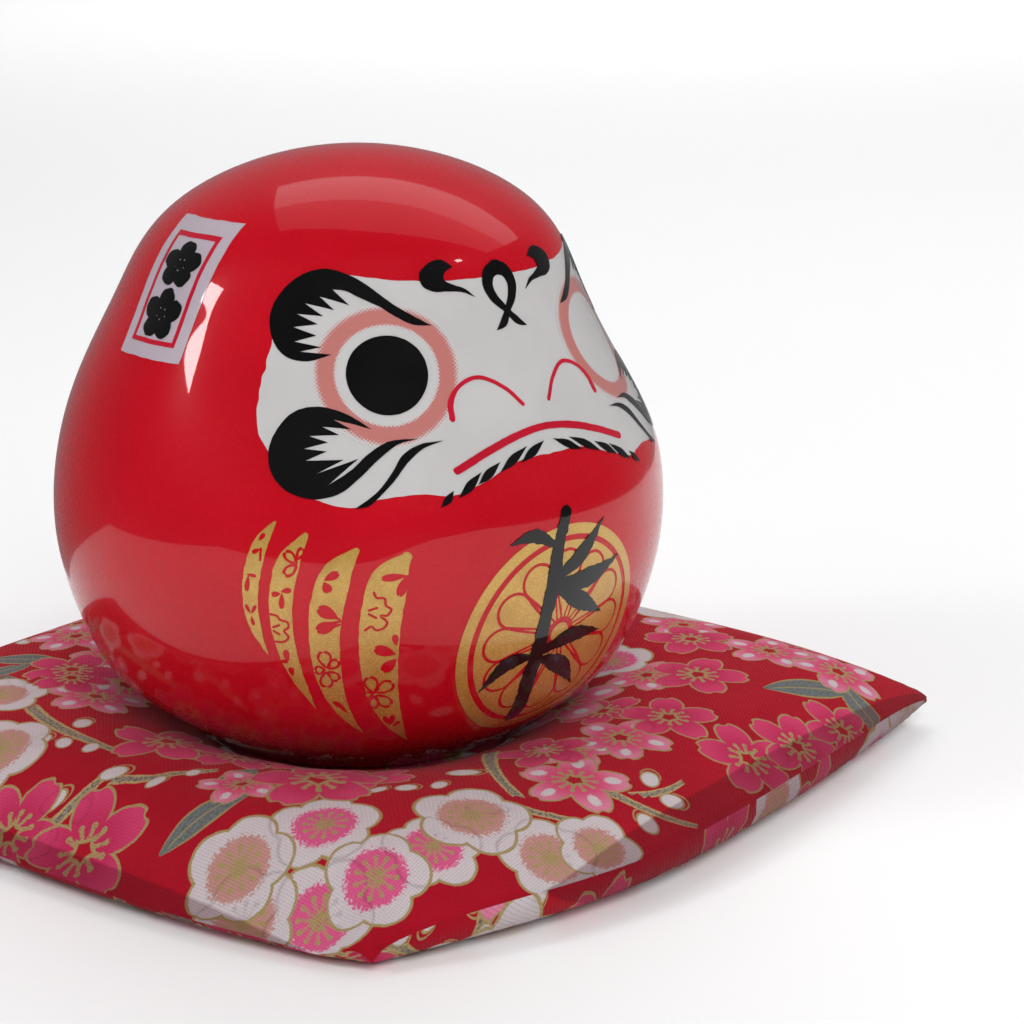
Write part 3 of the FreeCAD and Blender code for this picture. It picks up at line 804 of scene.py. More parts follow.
# Blossoms left red in each gold stripe: petals from (azimuth, height) to (azimuth, height)
# and their width in mm, filled or only outlined, and free lines.
FILLED_PETALS = [
    (-56.1, 44.5, -55.0, 45.6, 0.7), (-55.8, 43.3, -57.3, 42.6, 0.7), (-58.3, 39.3, -56.5, 39.1, 0.6),
    (-57.9, 39.3, -58.4, 36.6, 0.8), (-52.3, 36.7, -54.0, 36.4, 0.9), (-52.3, 37.0, -50.4, 37.3, 0.9),
    (-52.1, 36.8, -52.3, 34.2, 0.9), (-52.1, 25.2, -52.1, 27.6, 1.0), (-51.9, 25.2, -53.2, 25.7, 0.7),
    (-51.4, 22.9, -51.6, 24.6, 0.9), (-44.9, 38.9, -42.3, 40.1, 1.3), (-44.9, 38.7, -44.0, 37.0, 1.5),
    (-42.6, 33.0, -46.1, 34.6, 2.1), (-42.8, 32.2, -46.5, 30.9, 2.0), (-41.9, 16.9, -44.4, 18.6, 0.9),
    (-41.4, 16.2, -43.5, 17.9, 0.6), (-30.8, 39.4, -35.3, 39.1, 1.2), (-30.8, 39.5, -32.3, 36.2, 1.5),
    (-32.7, 26.8, -36.6, 27.9, 1.9), (-32.7, 28.2, -33.0, 30.2, 1.0), (-32.6, 26.0, -35.1, 23.8, 1.8),
    (-57.9, 33.1, -58.7, 34.6, 0.6), (-57.8, 33.1, -56.8, 34.6, 0.6), (-57.8, 32.8, -57.5, 31.2, 0.6),
    (-33.4, 13.6, -34.6, 15.6, 0.9), (-33.2, 13.6, -32.8, 15.8, 0.9), (-32.9, 13.2, -31.3, 14.4, 0.7),
]
OUTLINED_PETALS = [
    (-49.5, 41.4, -51.4, 43.0, 1.3), (-49.5, 41.2, -51.5, 39.6, 1.3), (-49.3, 42.1, -48.4, 43.6, 0.9),
    (-45.0, 24.7, -45.5, 27.4, 1.9), (-44.6, 24.5, -43.0, 25.9, 1.3), (-44.7, 23.9, -43.1, 22.5, 1.4),
    (-45.2, 23.8, -45.3, 21.2, 1.8), (-45.5, 24.3, -47.1, 24.1, 1.3),
    (-36.6, 20.1, -37.5, 22.9, 1.9), (-36.1, 20.1, -33.3, 21.8, 1.9), (-36.1, 19.5, -33.5, 17.6, 1.8),
    (-36.6, 19.4, -36.7, 17.2, 1.3), (-36.9, 19.8, -38.4, 19.6, 1.1),
]
MOTIF_LINES = [
    [(-55.7, 43.3), (-55.8, 41.6)],
    [(-54.3, 33.3), (-53.2, 33.1), (-52.7, 32.5), (-51.4, 32.1), (-51.3, 31.3), (-52.1, 30.7),
     (-51.4, 29.7), (-52.3, 28.9), (-53.8, 28.8)],
    [(-44.1, 32.2), (-42.3, 32.5)], [(-43.9, 33.4), (-42.4, 32.8)], [(-44.1, 31.3), (-42.4, 32.0)],
    [(-54.0, 31.2), (-52.9, 31.6)], [(-54.0, 30.6), (-53.0, 30.1)],
    [(-37.4, 34.2), (-36.0, 34.6)], [(-37.4, 33.6), (-36.2, 33.0)],
    [(-36.5, 37.0), (-36.1, 36.2), (-34.7, 36.0), (-34.5, 34.9), (-33.6, 34.3), (-34.3, 33.3),
     (-35.4, 33.3), (-34.3, 32.2), (-34.9, 31.3), (-36.2, 31.0), (-37.0, 31.6), (-38.1, 31.0)],
]
MOTIF_LINE = 0.20           # half the width of a line, mm
LEFT_SHIFT = 20             # the left stripes sit this many degrees further round


def petal(base, tip, width, grow):
    """Petal from its base to a notched tip, grown or shrunk all round, in mm."""
    (u0, v0), (u1, v1) = base, tip
    length = math.hypot(u1 - u0, v1 - v0)
    du, dv = (u1 - u0) / length, (v1 - v0) / length
    half = []
    for t, across in ((-0.02, 0.0), (0.12, 0.34), (0.35, 0.78), (0.6, 1.0), (0.82, 0.86), (0.97, 0.42),
                      (0.99, 0.2), (0.92, 0.0)):
        half.append((t * length + grow * (2 * t - 1), across * (width / 2) + grow * (across > 0)))
    outline = through(half, 0.15)
    outline += [(x, -y) for x, y in outline[-2:0:-1]]
    return [(u0 + x * du - y * dv, v0 + x * dv + y * du) for x, y in outline]


def stripes():
    for side, name in ((-1, "_right"), (1, "_left")):
        shift = 0 if side < 0 else LEFT_SHIFT
        middle = 45 * side + shift

        def at(azimuth, z):
            return flat(-side * azimuth + shift, z, middle)

        def petals(group, grow):
            return [petal(at(a, b), at(c, d), width, grow) for a, b, c, d, width in group]

        added = [stroke_flat([(*at(a, z), w) for a, z, w in line]) for line in STRIPES]
        lines = [stroke_flat([(*at(a, z), MOTIF_LINE) for a, z in line], 0.2) for line in MOTIF_LINES]
        layers = [
            ([ragged(line, 0.12, 1.2) for line in added], True),
            (petals(FILLED_PETALS, 0.0) + petals(OUTLINED_PETALS, MOTIF_LINE), False),
            (petals(OUTLINED_PETALS, -MOTIF_LINE), True),
            (lines, False),
        ]
        decal("gold_stripes" + name, layers, middle, GOLD_LIFT, GOLD, 1.0)


LABEL_AZIMUTH = -89
LABEL_HALF = 7.3
LABEL_LOW, LABEL_HIGH = 67.6, 87.4
BORDER_INSET = 2.0
BORDER_WIDTH = 0.7


def label_frame(inset):
    u, low, high = LABEL_HALF - inset, LABEL_LOW + inset, LABEL_HIGH - inset
    bends = [(-u, low), (u, low), (u, high), (-u, high)]
    sides = []
    for a, b in zip(bends, bends[1:] + bends[:1]):
        sides += through([a, b], 0.8)[:-1]
    return ragged(sides, 0.12, 2.0)


def label():
    decal("label_ground", [([label_frame(0)], True)], LABEL_AZIMUTH, PANEL_LIFT, LABEL_WHITE)
    border = [([label_frame(BORDER_INSET)], True), ([label_frame(BORDER_INSET + BORDER_WIDTH)], False)]
    decal("label_border", border, LABEL_AZIMUTH, RING_LIFT, RED_MARK)
    marks = []
    for z, lean in ((81, 0.766), (73.9, 0.883)):
        for k in range(5):
            a = 2 * math.pi * k / 5
            marks.append(ring(2.6 * math.sin(a), z + 2.6 * math.cos(a) * lean, 1.75, 1.75 * lean, 28))
        marks.append(ring(0, z, 0.9, 0.9 * lean, 20))
    decal("label_blossoms", [([ragged(m, 0.25, 1.1) for m in marks], True)], LABEL_AZIMUTH, MARK_LIFT,
          BLACK)


crest()
decal("belly_brushwork", [([ragged(stroke(line, 0), 0.22, 0.8) for line in BAMBOO], True)], 0, BRUSH_LIFT,
      BLACK)
stripes()
label()


# ---- floor, lights and camera ----
TABLE_SIDE = 0.34
VIEW_TURN = math.radians(-42)


def stage_material(name, colour):
    made, tree = material(name, Roughness=0.6, Specular_IOR_Level=0.2)
    return finish(made, Base_Color=paint(tree, noisy(tree, place(tree), 3.0), colour, colour))


def stage_piece(name, vertices, faces, made):
    mesh = bpy.data.meshes.new(name)
    mesh.from_pydata(vertices, [], faces)
    mesh.polygons.foreach_set("use_smooth", [True] * len(mesh.polygons))
    mesh.materials.append(made)
    thing = bpy.data.objects.new(name, mesh)
    thing.rotation_euler = (0, 0, VIEW_TURN)
    bpy.context.scene.collection.objects.link(thing)
    return thing


def floor_and_wall():
    """A pale floor that curves up far behind the object, and on it a thin table top, which
    is all that the glaze mirrors."""
    pale = stage_material("floor", (0.96, 0.96, 0.965, 1))
    t = TABLE_SIDE
    outline = [(-t, -t), (t, -t), (t, t), (-0.03, t), (-0.09, 0.07), (-t, 0.02)]
    stage_piece("table_top", [(x, y, 0) for x, y in outline], [tuple(range(6))], pale)
    depth, side, bend, thickness = 3.4, 4.0, 0.8, 0.0002
    section = [(-3.0, 0.0), (depth - bend, 0.0)]
    for i in range(1, 13):
        a = math.pi / 2 * i / 12
        section.append((depth - bend + bend * math.sin(a), bend - bend * math.cos(a)))
    section.append((depth, 3.0))
    vertices = [(x, y, z - thickness) for y, z in section for x in (-side, side)]
    faces = [(2 * i, 2 * i + 1, 2 * i + 3, 2 * i + 2) for i in range(len(section) - 1)]
    stage_piece("floor_and_wall", vertices, faces, pale).visible_glossy = False


def lamp(name, watts, size, spot, target, tall=None, colour=(1, 1, 1)):
    """Soft box: a rectangle of light at a spot, facing a target."""
    data = bpy.data.lights.new(name, "AREA")
    data.energy = watts
    data.color = colour
    data.shape = "RECTANGLE"
    data.size = size
    data.size_y = tall or size
    light = bpy.data.objects.new(name, data)
    light.location = spot
    light.rotation_euler = (Vector(target) - Vector(spot)).to_track_quat("-Z", "Y").to_euler()
    bpy.context.scene.collection.objects.link(light)
    return light


def studio(across, ahead, up):
    """A place by the camera's directions: across to its right, ahead and up, in metres."""
    c, s = math.cos(VIEW_TURN), math.sin(VIEW_TURN)
    return across * c - ahead * s, across * s + ahead * c, up


def backdrop_light():
    """Dim even light all round, a little brighter behind the object, so that the glaze
    stays deep."""
    world = bpy.data.worlds.new("studio")
    bpy.context.scene.world = world
    world.use_nodes = True
    tree = world.node_tree
    look = tree.nodes.new("ShaderNodeTexCoord")
    x, y, z = split(tree, Value(tree, look.outputs["Generated"]))
    ahead = studio(0, 1, 0)
    behind = (x * ahead[0] + y * ahead[1]).ramp(0.0, 1.0)
    background = tree.nodes["Background"].inputs
    put(tree, background["Color"], paint(tree, behind, (0.06, 0.06, 0.062, 1), (0.24, 0.24, 0.245, 1)))
    background["Strength"].default_value = 1.0


def overhead(name, watts, wide, deep, spot):
    """Soft box facing straight down, square to the camera."""
    light = lamp(name, watts, wide, spot, (0, 0, 0), deep)
    light.rotation_euler = (0, 0, VIEW_TURN)
    return light


def lights():
    backdrop_light()
    middle = (0, 0, 0.05)
    overhead("top_box", 1.25, 1.10, 0.30, studio(0.30, 0.42, 0.70))
    overhead("top_box_near", 0.48, 1.10, 0.26, studio(0.30, 0.14, 0.705))
    lamp("left_window", 1.1, 0.17, studio(-0.70, -0.28, 0.56), middle, 0.085)
    lamp("right_spark", 0.16, 0.05, studio(0.66, -0.27, 0.63), middle)
    for name, watts, size, spot in (
        ("front_fill", 10.8, 0.9, studio(0.25, -1.0, 0.95)),
        ("left_fill", 2.9, 0.8, studio(-0.9, -0.5, 0.7)),
        ("right_fill", 2.8, 0.8, studio(0.95, -0.1, 0.7)),
    ):
        lamp(name, watts, size, spot, middle).visible_glossy = False
    wash = overhead("floor_wash", 26.0, 2.0, 1.4, studio(0.1, 1.75, 1.3))
    wash.visible_glossy = False


EYE = np.array([-0.2536, -0.3191, 0.1483])      # from the doll's base
EYE_PITCH = math.radians(74.5)
LENS = 89.5


def camera():
    bpy.context.scene.view_settings.view_transform = "Standard"
    data = bpy.data.cameras.new("camera")
    data.lens = LENS
    data.sensor_width = 36.0
    data.clip_start = 0.01
    eye = bpy.data.objects.new("camera", data)
    eye.location = BASE + EYE
    eye.rotation_euler = (EYE_PITCH, 0, VIEW_TURN)
    bpy.context.scene.collection.objects.link(eye)
    bpy.context.scene.camera = eye


floor_and_wall()
lights()
camera()


# ---- the cushion: a cloth skin blown up by simulation, then refined ----
CUSHION_HALF = 70.0
SIDE_BULGE = 2.6
FRONT_BULGE = 2.0           # the front side bows out by this much more
SEAM_DRAW = 1.5             # cloth allowed on each side for the sewing to draw in
SEAM_GROOVE = 0.95          # how far the stitches draw the seam in afterwards
GROOVE_WIDTH = 0.8
PUCKER_PITCH = 3.1
PUCKER_DEPTH = 0.10
LEAST_HEIGHT = 0.12         # of any point above the table
SEAM_Z = 6.3
CROWN = 6.5
SEAT_RADIUS = 26.0
SEAT_SLOPE = 0.62
CELLS = 56                  # squares along each side of a panel, before it is refined
SIM_SCALE = 10.0            # cloth is steadier when it is simulated larger
CLOTH = {
    "uniform_pressure_force": 1.6, "shrink_min": -0.03, "mass": 0.25, "tension_stiffness": 25,
    "compression_stiffness": 25, "shear_stiffness": 8, "bending_stiffness": 0.6, "air_damping": 4,
    "quality": 8,
}
CLEARANCE = 0.004           # between the cloth and what it meets, at the larger scale
LAST_FRAME = 18
TUCK_REACH = 58.0           # how far from the tucked corner the cloth is drawn in
TUCK = np.array([1.4, 13.6])
POINT_REACH = 18.0          # and the same for the pointed corner
POINT = np.array([1.2, 0.4])
MOST_MOVE = 3.6             # no point ends further than this from where it started
SEAM_MOVE = 0.9             # and less at the seam
TURN = np.array([
    [math.cos(CUSHION_TURN), -math.sin(CUSHION_TURN)],
    [math.sin(CUSHION_TURN), math.cos(CUSHION_TURN)],
])
DOLL_PLAN = BASE[:2] / MM
DOLL_Z = BASE[2] / MM


def plan(u, v):
    """Plan position for a place on a panel, -1 to 1 each way. The corner at the doll's
    right foot is tucked in, and the one at its left foot runs out to a point."""
    x = u * (CUSHION_HALF + SEAM_DRAW + SIDE_BULGE * (1 - v * v))
    bulge = SIDE_BULGE + FRONT_BULGE * smooth(0, -1, v)
    y = v * (CUSHION_HALF + SEAM_DRAW + bulge * (1 - u * u))
    xy = np.stack([x, y], -1) @ TURN.T
    near = np.clip(1 - np.hypot(x + CUSHION_HALF, y + CUSHION_HALF) / TUCK_REACH, 0, 1)
    xy = xy + (near**1.6)[..., None] * TUCK
    point = np.clip(1 - np.hypot(x - CUSHION_HALF, y + CUSHION_HALF) / POINT_REACH, 0, 1)
    return xy + (point**1.5)[..., None] * POINT


def seam_height(u, v):
    """The seam lies on the floor along the doll's right side, lower at the corners than
    between them elsewhere."""
    corner = (np.abs(u) * np.abs(v)) ** 8
    tucked = corner * (u < 0) * (v < 0)
    right_side = smooth(-0.72, -1.0, u) * smooth(-1.0, -0.80, v) * smooth(1.0, 0.9, v)
    return SEAM_Z - 3.4 * corner - 1.2 * tucked - 4.4 * right_side


def top_height(u, v, xy):
    crown = CROWN * (1 - np.abs(u) ** 5) * (1 - np.abs(v) ** 5)
    plump = seam_height(u, v) + crown
    away = np.hypot(xy[..., 0] - DOLL_PLAN[0], xy[..., 1] - DOLL_PLAN[1])
    seat = DOLL_Z - 0.6 + SEAT_SLOPE * np.maximum(0, away - SEAT_RADIUS)
    return -np.log(np.exp(-plump) + np.exp(-seat))


def bottom_height(u, v):
    """Flat on the floor, and round where it turns up to the seam."""
    share = [1 - np.sqrt(1 - np.clip(np.abs(w), 0, 1) ** 20) for w in (u, v)]
    return np.maximum(seam_height(u, v) * np.clip(share[0] + share[1], 0, 1), 0.25)


def square(count):
    """Places u, v from -1 to 1 over a square table of points, and which lie on its rim."""
    steps = np.linspace(-1, 1, count)
    u, v = np.meshgrid(steps, steps, indexing="ij")
    return u, v, np.maximum(np.abs(u), np.abs(v)) == 1


def closed_skin(top, low):
    """Two square tables of points as one closed skin: its vertices, its faces and the
    vertex numbers of each table. The tables share the top's vertices along the seam."""
    count = len(top)
    rim = square(count)[2]
    top_table = np.arange(count * count).reshape(count, count)
    low_table = top_table.copy()
    low_table[~rim] = count * count + np.arange((~rim).sum())
    places = np.vstack([top.reshape(-1, 3), low[~rim]])
    faces = panel_faces(top_table, True) + panel_faces(low_table, False)
    return places, faces, top_table, low_table


def panel_faces(table, upward):
    a, b = table[:-1, :-1].ravel(), table[1:, :-1].ravel()
    c, d = table[1:, 1:].ravel(), table[:-1, 1:].ravel()
    order = (a, b, c, d) if upward else (a, d, c, b)
    return np.stack(order, -1).tolist()


def solid_mesh(name, vertices, faces):
    mesh = bpy.data.meshes.new(name)
    mesh.from_pydata([tuple(p) for p in vertices], [], faces)
    thing = bpy.data.objects.new(name, mesh)
    bpy.context.scene.collection.objects.link(thing)
    return thing


def obstacle(name, vertices, faces):
    thing = solid_mesh(name, vertices, faces)
    thing.modifiers.new("Collision", "COLLISION")
    thing.collision.thickness_outer = CLEARANCE
    thing.collision.cloth_friction = 20
    return thing


def doll_obstacle():
    """The lower half of the doll's skin, coarse, at the simulation's scale."""
    around, rows = 64, 24
    points, faces = [], []
    for k in range(rows + 1):
        r, z = silhouette([0.5 * k / rows])[0]
        for i in range(around):
            a = 2 * math.pi * i / around
            points.append((DOLL_PLAN[0] + r * math.sin(a), DOLL_PLAN[1] - r * math.cos(a), DOLL_Z + z))
    for k in range(rows):
        for i in range(around):
            j = (i + 1) % around
            faces.append((k * around + i, k * around + j, (k + 1) * around + j, (k + 1) * around + i))
    faces.append(tuple(range(around))[::-1])
    return obstacle("doll_obstacle", np.array(points) * MM * SIM_SCALE, faces)


def floor_obstacle():
    below = -0.0065          # the cloth stops this far above it
    corners_flat = [(-2, -2, below), (2, -2, below), (2, 2, below), (-2, 2, below)]
    return obstacle("floor_obstacle", corners_flat, [(0, 1, 2, 3)])


def stuffed(places, faces, inward):
    """The skin after its cloth has been blown up against the floor and the doll. Inward is
    each point's distance from the seam, in mm."""
    skin = solid_mesh("skin", places * MM * SIM_SCALE, faces)
    blocks = [doll_obstacle(), floor_obstacle()]
    cloth = skin.modifiers.new("Cloth", "CLOTH")
    cloth.settings.use_pressure = True
    for key, value in CLOTH.items():
        setattr(cloth.settings, key, value)
    cloth.settings.effector_weights.gravity = 0.15
    cloth.collision_settings.distance_min = CLEARANCE
    cloth.collision_settings.collision_quality = 3
    scene = bpy.context.scene
    for frame_number in range(1, LAST_FRAME + 1):
        scene.frame_set(frame_number)
    bpy.context.view_layer.update()
    found = skin.evaluated_get(bpy.context.evaluated_depsgraph_get())
    result = np.empty(len(places) * 3)
    found.data.vertices.foreach_get("co", result)
    scene.frame_set(1)
    for thing in [skin] + blocks:
        bpy.data.objects.remove(thing)
    moved = result.reshape(-1, 3) / (MM * SIM_SCALE) - places
    size = np.linalg.norm(moved, axis=1)
    most = SEAM_MOVE + (MOST_MOVE - SEAM_MOVE) * smooth(0, 16, inward)
    return places + moved * (most * np.tanh(size / most) / np.maximum(size, 1e-6))[:, None]


def refined(grid):
    """A square table of points with one more between each two, on smooth curves."""
    for axis in (0, 1):
        g = np.moveaxis(grid, axis, 0)
        ghost = np.concatenate([[2 * g[0] - g[1]], g, [2 * g[-1] - g[-2]]])
        between = (9 * (ghost[1:-2] + ghost[2:-1]) - ghost[:-3] - ghost[3:]) / 16
        fine = np.empty((2 * len(g) - 1,) + g.shape[1:])
        fine[::2] = g
        fine[1::2] = between
        grid = np.moveaxis(fine, 0, axis)
    return grid


def cushion_skin():
    """Table of places, in mm, for the top and the bottom panel, refined."""
    u, v, rim = square(CELLS + 1)
    xy = plan(u, v)
    top = np.dstack([xy, top_height(u, v, xy)])
    top[rim, 2] = seam_height(u, v)[rim]
    low = np.dstack([xy, bottom_height(u, v)])
    places, faces, top_table, low_table = closed_skin(top, low)
    inward = (1 - np.maximum(np.abs(u), np.abs(v))) * CUSHION_HALF
    places = stuffed(places, faces, np.concatenate([inward.ravel(), inward[~rim]]))
    top, low = refined(places[top_table]), refined(places[low_table])
    for grid in (top, low):
        grid[..., 2] = np.maximum(grid[..., 2], LEAST_HEIGHT)
    draw_in_seam(top, low)
    return top, low


def draw_in_seam(top, low):
    """The seam is a groove, pulled in by its stitches, with small puckers on each side."""
    u, v, _ = square(len(top))
    inward = (1 - np.maximum(np.abs(u), np.abs(v))) * CUSHION_HALF
    along = np.where(np.abs(u) > np.abs(v), v, u) * CUSHION_HALF
    pull = SEAM_GROOVE * np.exp(-((inward / GROOVE_WIDTH) ** 2))
    pucker = np.sin(along * 2 * math.pi / PUCKER_PITCH + 2.0 * np.sin(along * 0.21))
    band = hump(inward, 2.0, 1.8)
    for grid in (top, low):
        outward = grid * (1, 1, 0)
        outward /= np.maximum(np.linalg.norm(outward, axis=-1, keepdims=True), 1e-6)
        grid -= outward * (pull - PUCKER_DEPTH * pucker * band)[..., None]


def build_cushion():
    top, low = cushion_skin()
    places, faces, *_ = closed_skin(top, low)
    piece = new_piece(
        "cushion_cover", places * MM, faces, [PRINTED_COTTON], "cushion",
        ["cushion_top", "cushion_bottom"], smooth_angle=75,
    )
    lay_print(piece, len(top))
    build_filling(top, low)
    stitches(top)


FILLING_SHARE = 0.955
FILLING_GAP = 0.85
THINNEST = 0.15             # half the least thickness of the wadding, mm


def build_filling(top, low):
    """The wadding inside, a little smaller than the cover all round and half as fine."""
    top, low = top[::2, ::2].copy(), low[::2, ::2].copy()
    for grid, sign in ((top, -1), (low, 1)):
        grid[..., :2] *= FILLING_SHARE
        grid[..., 2] += sign * FILLING_GAP
    centre = (top[..., 2] + low[..., 2]) / 2
    thin = top[..., 2] - low[..., 2] < 2 * THINNEST
    top[..., 2] = np.where(thin, centre + THINNEST, top[..., 2])
    low[..., 2] = np.where(thin, centre - THINNEST, low[..., 2])
    rim = square(len(top))[2]
    top[rim, 2] = centre[rim]
    places, faces, *_ = closed_skin(top, low)
    piece = new_piece(
        "wadding", places * MM, faces, [WADDING], "cushion", ["cushion_filling"], 70
    )


STITCHES = 14
STITCH_PITCH = 3.6
THREAD_RADIUS = 0.22
ARC_STEPS, SIDES = 8, 8     # of each stitch, along and round


def stitches(top):
    """Slanting hand stitches over the seam at the middle of the back edge."""
    count = top.shape[0]
    vertices, faces = [], []
    for n in range(STITCHES):
        share = 0.5 + (n - (STITCHES - 1) / 2) * STITCH_PITCH / (2 * CUSHION_HALF)
        at = share * (count - 1)
        i = int(at)
        seam = top[i, -1] + (top[i + 1, -1] - top[i, -1]) * (at - i)
        across = (top[i + 1, -1] - top[i, -1]) / np.linalg.norm(top[i + 1, -1] - top[i, -1])
        out = np.array([-across[1], across[0], 0])
        arc = [
            seam + np.array([0, 0, 1.0]) * 0.75 * math.sin(t) + out * (0.55 * math.cos(t) + 0.3)
            + across * 0.7 * math.sin(t)
            for t in np.linspace(-1.35, 1.35, ARC_STEPS + 1)
        ]
        start = len(vertices)
        for k, centre in enumerate(arc):
            direction = arc[min(k + 1, ARC_STEPS)] - arc[max(k - 1, 0)]
            direction /= np.linalg.norm(direction)
            side = np.cross(direction, across)
            side /= np.linalg.norm(side)
            other = np.cross(direction, side)
            radius = THREAD_RADIUS * (0.75 if k in (0, ARC_STEPS) else 1)
            for m in range(SIDES):
                a = 2 * math.pi * m / SIDES
                vertices.append(centre + radius * (math.cos(a) * side + math.sin(a) * other))
        for k in range(ARC_STEPS):
            for m in range(SIDES):
                a, b = start + k * SIDES + m, start + k * SIDES + (m + 1) % SIDES
                faces.append((a, b, b + SIDES, a + SIDES))
        end = start + ARC_STEPS * SIDES
        faces += [tuple(start + m for m in range(SIDES))[::-1], tuple(end + m for m in range(SIDES))]
    new_piece("closing_stitches", np.array(vertices) * MM, faces, [THREAD], "cushion",
              ["closing_thread"], 60)


# ---- the print: flowers, buds, leaves and branches stamped on flat cloth ----
CHERRY, PALE_CHERRY, PLUM_TAN, PLUM_PINK, PLUM_WHITE = range(5)
LEAF, BUD, BRANCH = range(3)


def lay_print(piece, count):
    """Each face of the cover takes, in each layer, the stamp it lies nearest to. Its corners
    keep their place in that stamp, in stamp radii, and the stamp's kind."""
    mesh = piece.data
    flat_place, panel = cloth_places(piece, count)
    middles = flat_place.reshape(-1, 4, 2).mean(axis=1)
    side = panel.reshape(-1, 4)[:, 0]
    store(mesh, "cloth_place", np.column_stack([flat_place, panel]))
    flowers, sprigs, branches = print_stamps()
    for name, stamps in [("flowers_%d" % k, f) for k, f in enumerate(flowers)] + [
        ("sprigs", sprigs), ("branches", branches)
    ]:
        values = np.zeros((len(flat_place), 3))
        best = np.full(len(middles), 9.0)
        for u, v, long, wide, turn, kind, on in stamps:
            a = math.radians(turn)
            c, s = math.cos(a), math.sin(a)
            dx, dy = middles[:, 0] - u, middles[:, 1] - v
            size = np.hypot((dx * c + dy * s) / long, (dy * c - dx * s) / wide)
            won = (side == on) & (size < best)
            best[won] = size[won]
            rows = np.repeat(won, 4)
            dx, dy = flat_place[rows, 0] - u, flat_place[rows, 1] - v
            values[rows] = np.column_stack([
                (dx * c + dy * s) / long, (dy * c - dx * s) / wide, np.full(rows.sum(), kind + 1.0)
            ])
        store(mesh, name, values)


def store(mesh, name, values):
    made = mesh.attributes.new(name, "FLOAT_VECTOR", "CORNER")
    made.data.foreach_set("vector", values.astype(np.float32).ravel())


def cloth_places(piece, count):
    """For each face corner, its place on the flat cloth in mm and its panel, 0 or 1."""
    u, v, rim = square(count)
    flat_cloth = plan(u, v) @ TURN
    every = np.vstack([flat_cloth.reshape(-1, 2), flat_cloth[~rim]])
    mesh = piece.data
    corner = np.empty(len(mesh.loops), np.int32)
    mesh.loops.foreach_get("vertex_index", corner)
    faces_a_panel = (count - 1) ** 2
    panel = np.repeat(np.arange(len(mesh.polygons)) >= faces_a_panel, 4).astype(float)
    return every[corner], panel


# Main flowers of the top panel: place on the cloth in mm, radius, turn and kind.
MAIN_FLOWERS = [
    (-69, -4, 10.5, 10, CHERRY), (-70, 11, 9.5, 40, CHERRY), (-64, -31, 8.5, 0, PLUM_TAN),
    (-70, -37, 8.5, 30, PLUM_TAN), (-53, -38, 8.5, 20, PLUM_PINK), (-65, -47, 8.5, 50, PLUM_PINK),
    (-57, -51, 8, 5, PLUM_PINK), (-48, -54, 7.5, 30, PLUM_PINK), (-38, -53, 9, 15, PLUM_TAN),
    (-36, -66, 8, 40, PLUM_TAN), (-28, -69, 7, 10, PLUM_TAN), (-42, -27, 11, 25, CHERRY),
    (-30, 38, 9, 0, CHERRY), (-17, 51, 9, 30, PALE_CHERRY), (-36, 26, 9, 15, PALE_CHERRY),
    (-20, 38, 8, 50, PALE_CHERRY), (-43, 3, 10, 5, CHERRY), (-46, 38, 8, 20, PLUM_TAN),
    (-59, 24, 8.5, 40, PLUM_TAN), (12, -32, 11, 10, PALE_CHERRY), (46, -36, 8.5, 30, CHERRY),
    (31, -47, 9, 0, CHERRY), (12, -54, 8.5, 20, CHERRY), (13, -69, 9, 45, CHERRY),
    (-18, -57, 9, 12, PALE_CHERRY), (0, -53, 8.5, 60, PALE_CHERRY), (-11, -46, 8, 33, CHERRY),
    (51, -49, 8.5, 8, PALE_CHERRY), (54, -61, 8.5, 40, PALE_CHERRY), (25, -71, 8.5, 22, CHERRY),
    (38, -72, 8, 0, CHERRY), (62, -22, 9, 15, PLUM_WHITE), (30, -30, 7.5, 20, PLUM_PINK),
    (-27, 28, 8.5, 44, PALE_CHERRY), (-33, 35, 7.5, 10, CHERRY), (-10, 58, 8, 50, PALE_CHERRY),
    (-39, -8, 8, 12, CHERRY), (-35, -30, 8.5, 48, CHERRY), (-33, -18, 8, 5, CHERRY),
    (-50, -19, 7, 30, PALE_CHERRY), (26, -40, 8, 62, PALE_CHERRY), (53, -30, 8, 22, PALE_CHERRY),
    (9, -43, 7.5, 40, CHERRY), (-9, -50, 7, 10, PALE_CHERRY), (61, -50, 7.5, 15, CHERRY),
]
MAIN_SPRIGS = [
    (42, -62, 9, 2.7, -27, LEAF), (48, -70, 7.5, 2.8, 70, LEAF), (-31, 49, 7, 2.4, 120, LEAF),
    (-38, 47, 6.5, 2.3, 170, LEAF), (-42, 40, 6, 2.2, 60, LEAF), (-59, -20, 8, 2.2, -20, LEAF),
    (-48, -16, 6, 2.2, 10, LEAF), (-8, -64, 2.3, 1.7, 30, BUD), (-9, -69, 2.3, 1.8, -30, BUD),
    (-17, -70, 2.4, 1.8, 70, BUD), (-64, 7, 2.6, 1.6, -30, BUD), (-64, 1, 2.3, 1.6, 20, BUD),
    (-57, 1, 2.6, 1.7, -40, BUD), (-68, 5, 2, 1.3, 30, BUD), (-51, -10, 1.7, 1.1, 0, BUD),
    (-56, -7, 2, 1.3, -20, BUD), (-40, -37, 2, 1.3, -10, BUD), (-37, -40, 2, 1.4, -30, BUD),
    (-33, -43, 1.9, 1.3, 10, BUD), (-26, -42, 3, 1.9, -40, BUD), (-35, -53, 3, 1.8, -50, BUD),
    (-55, 19, 2.2, 1.6, 0, BUD), (-54, 15, 2, 1.5, 40, BUD), (-53, 10, 2, 1.4, 10, BUD),
    (-47, 18, 2.2, 1.7, 20, BUD), (-23, 58, 2.5, 1.5, 60, BUD),
]
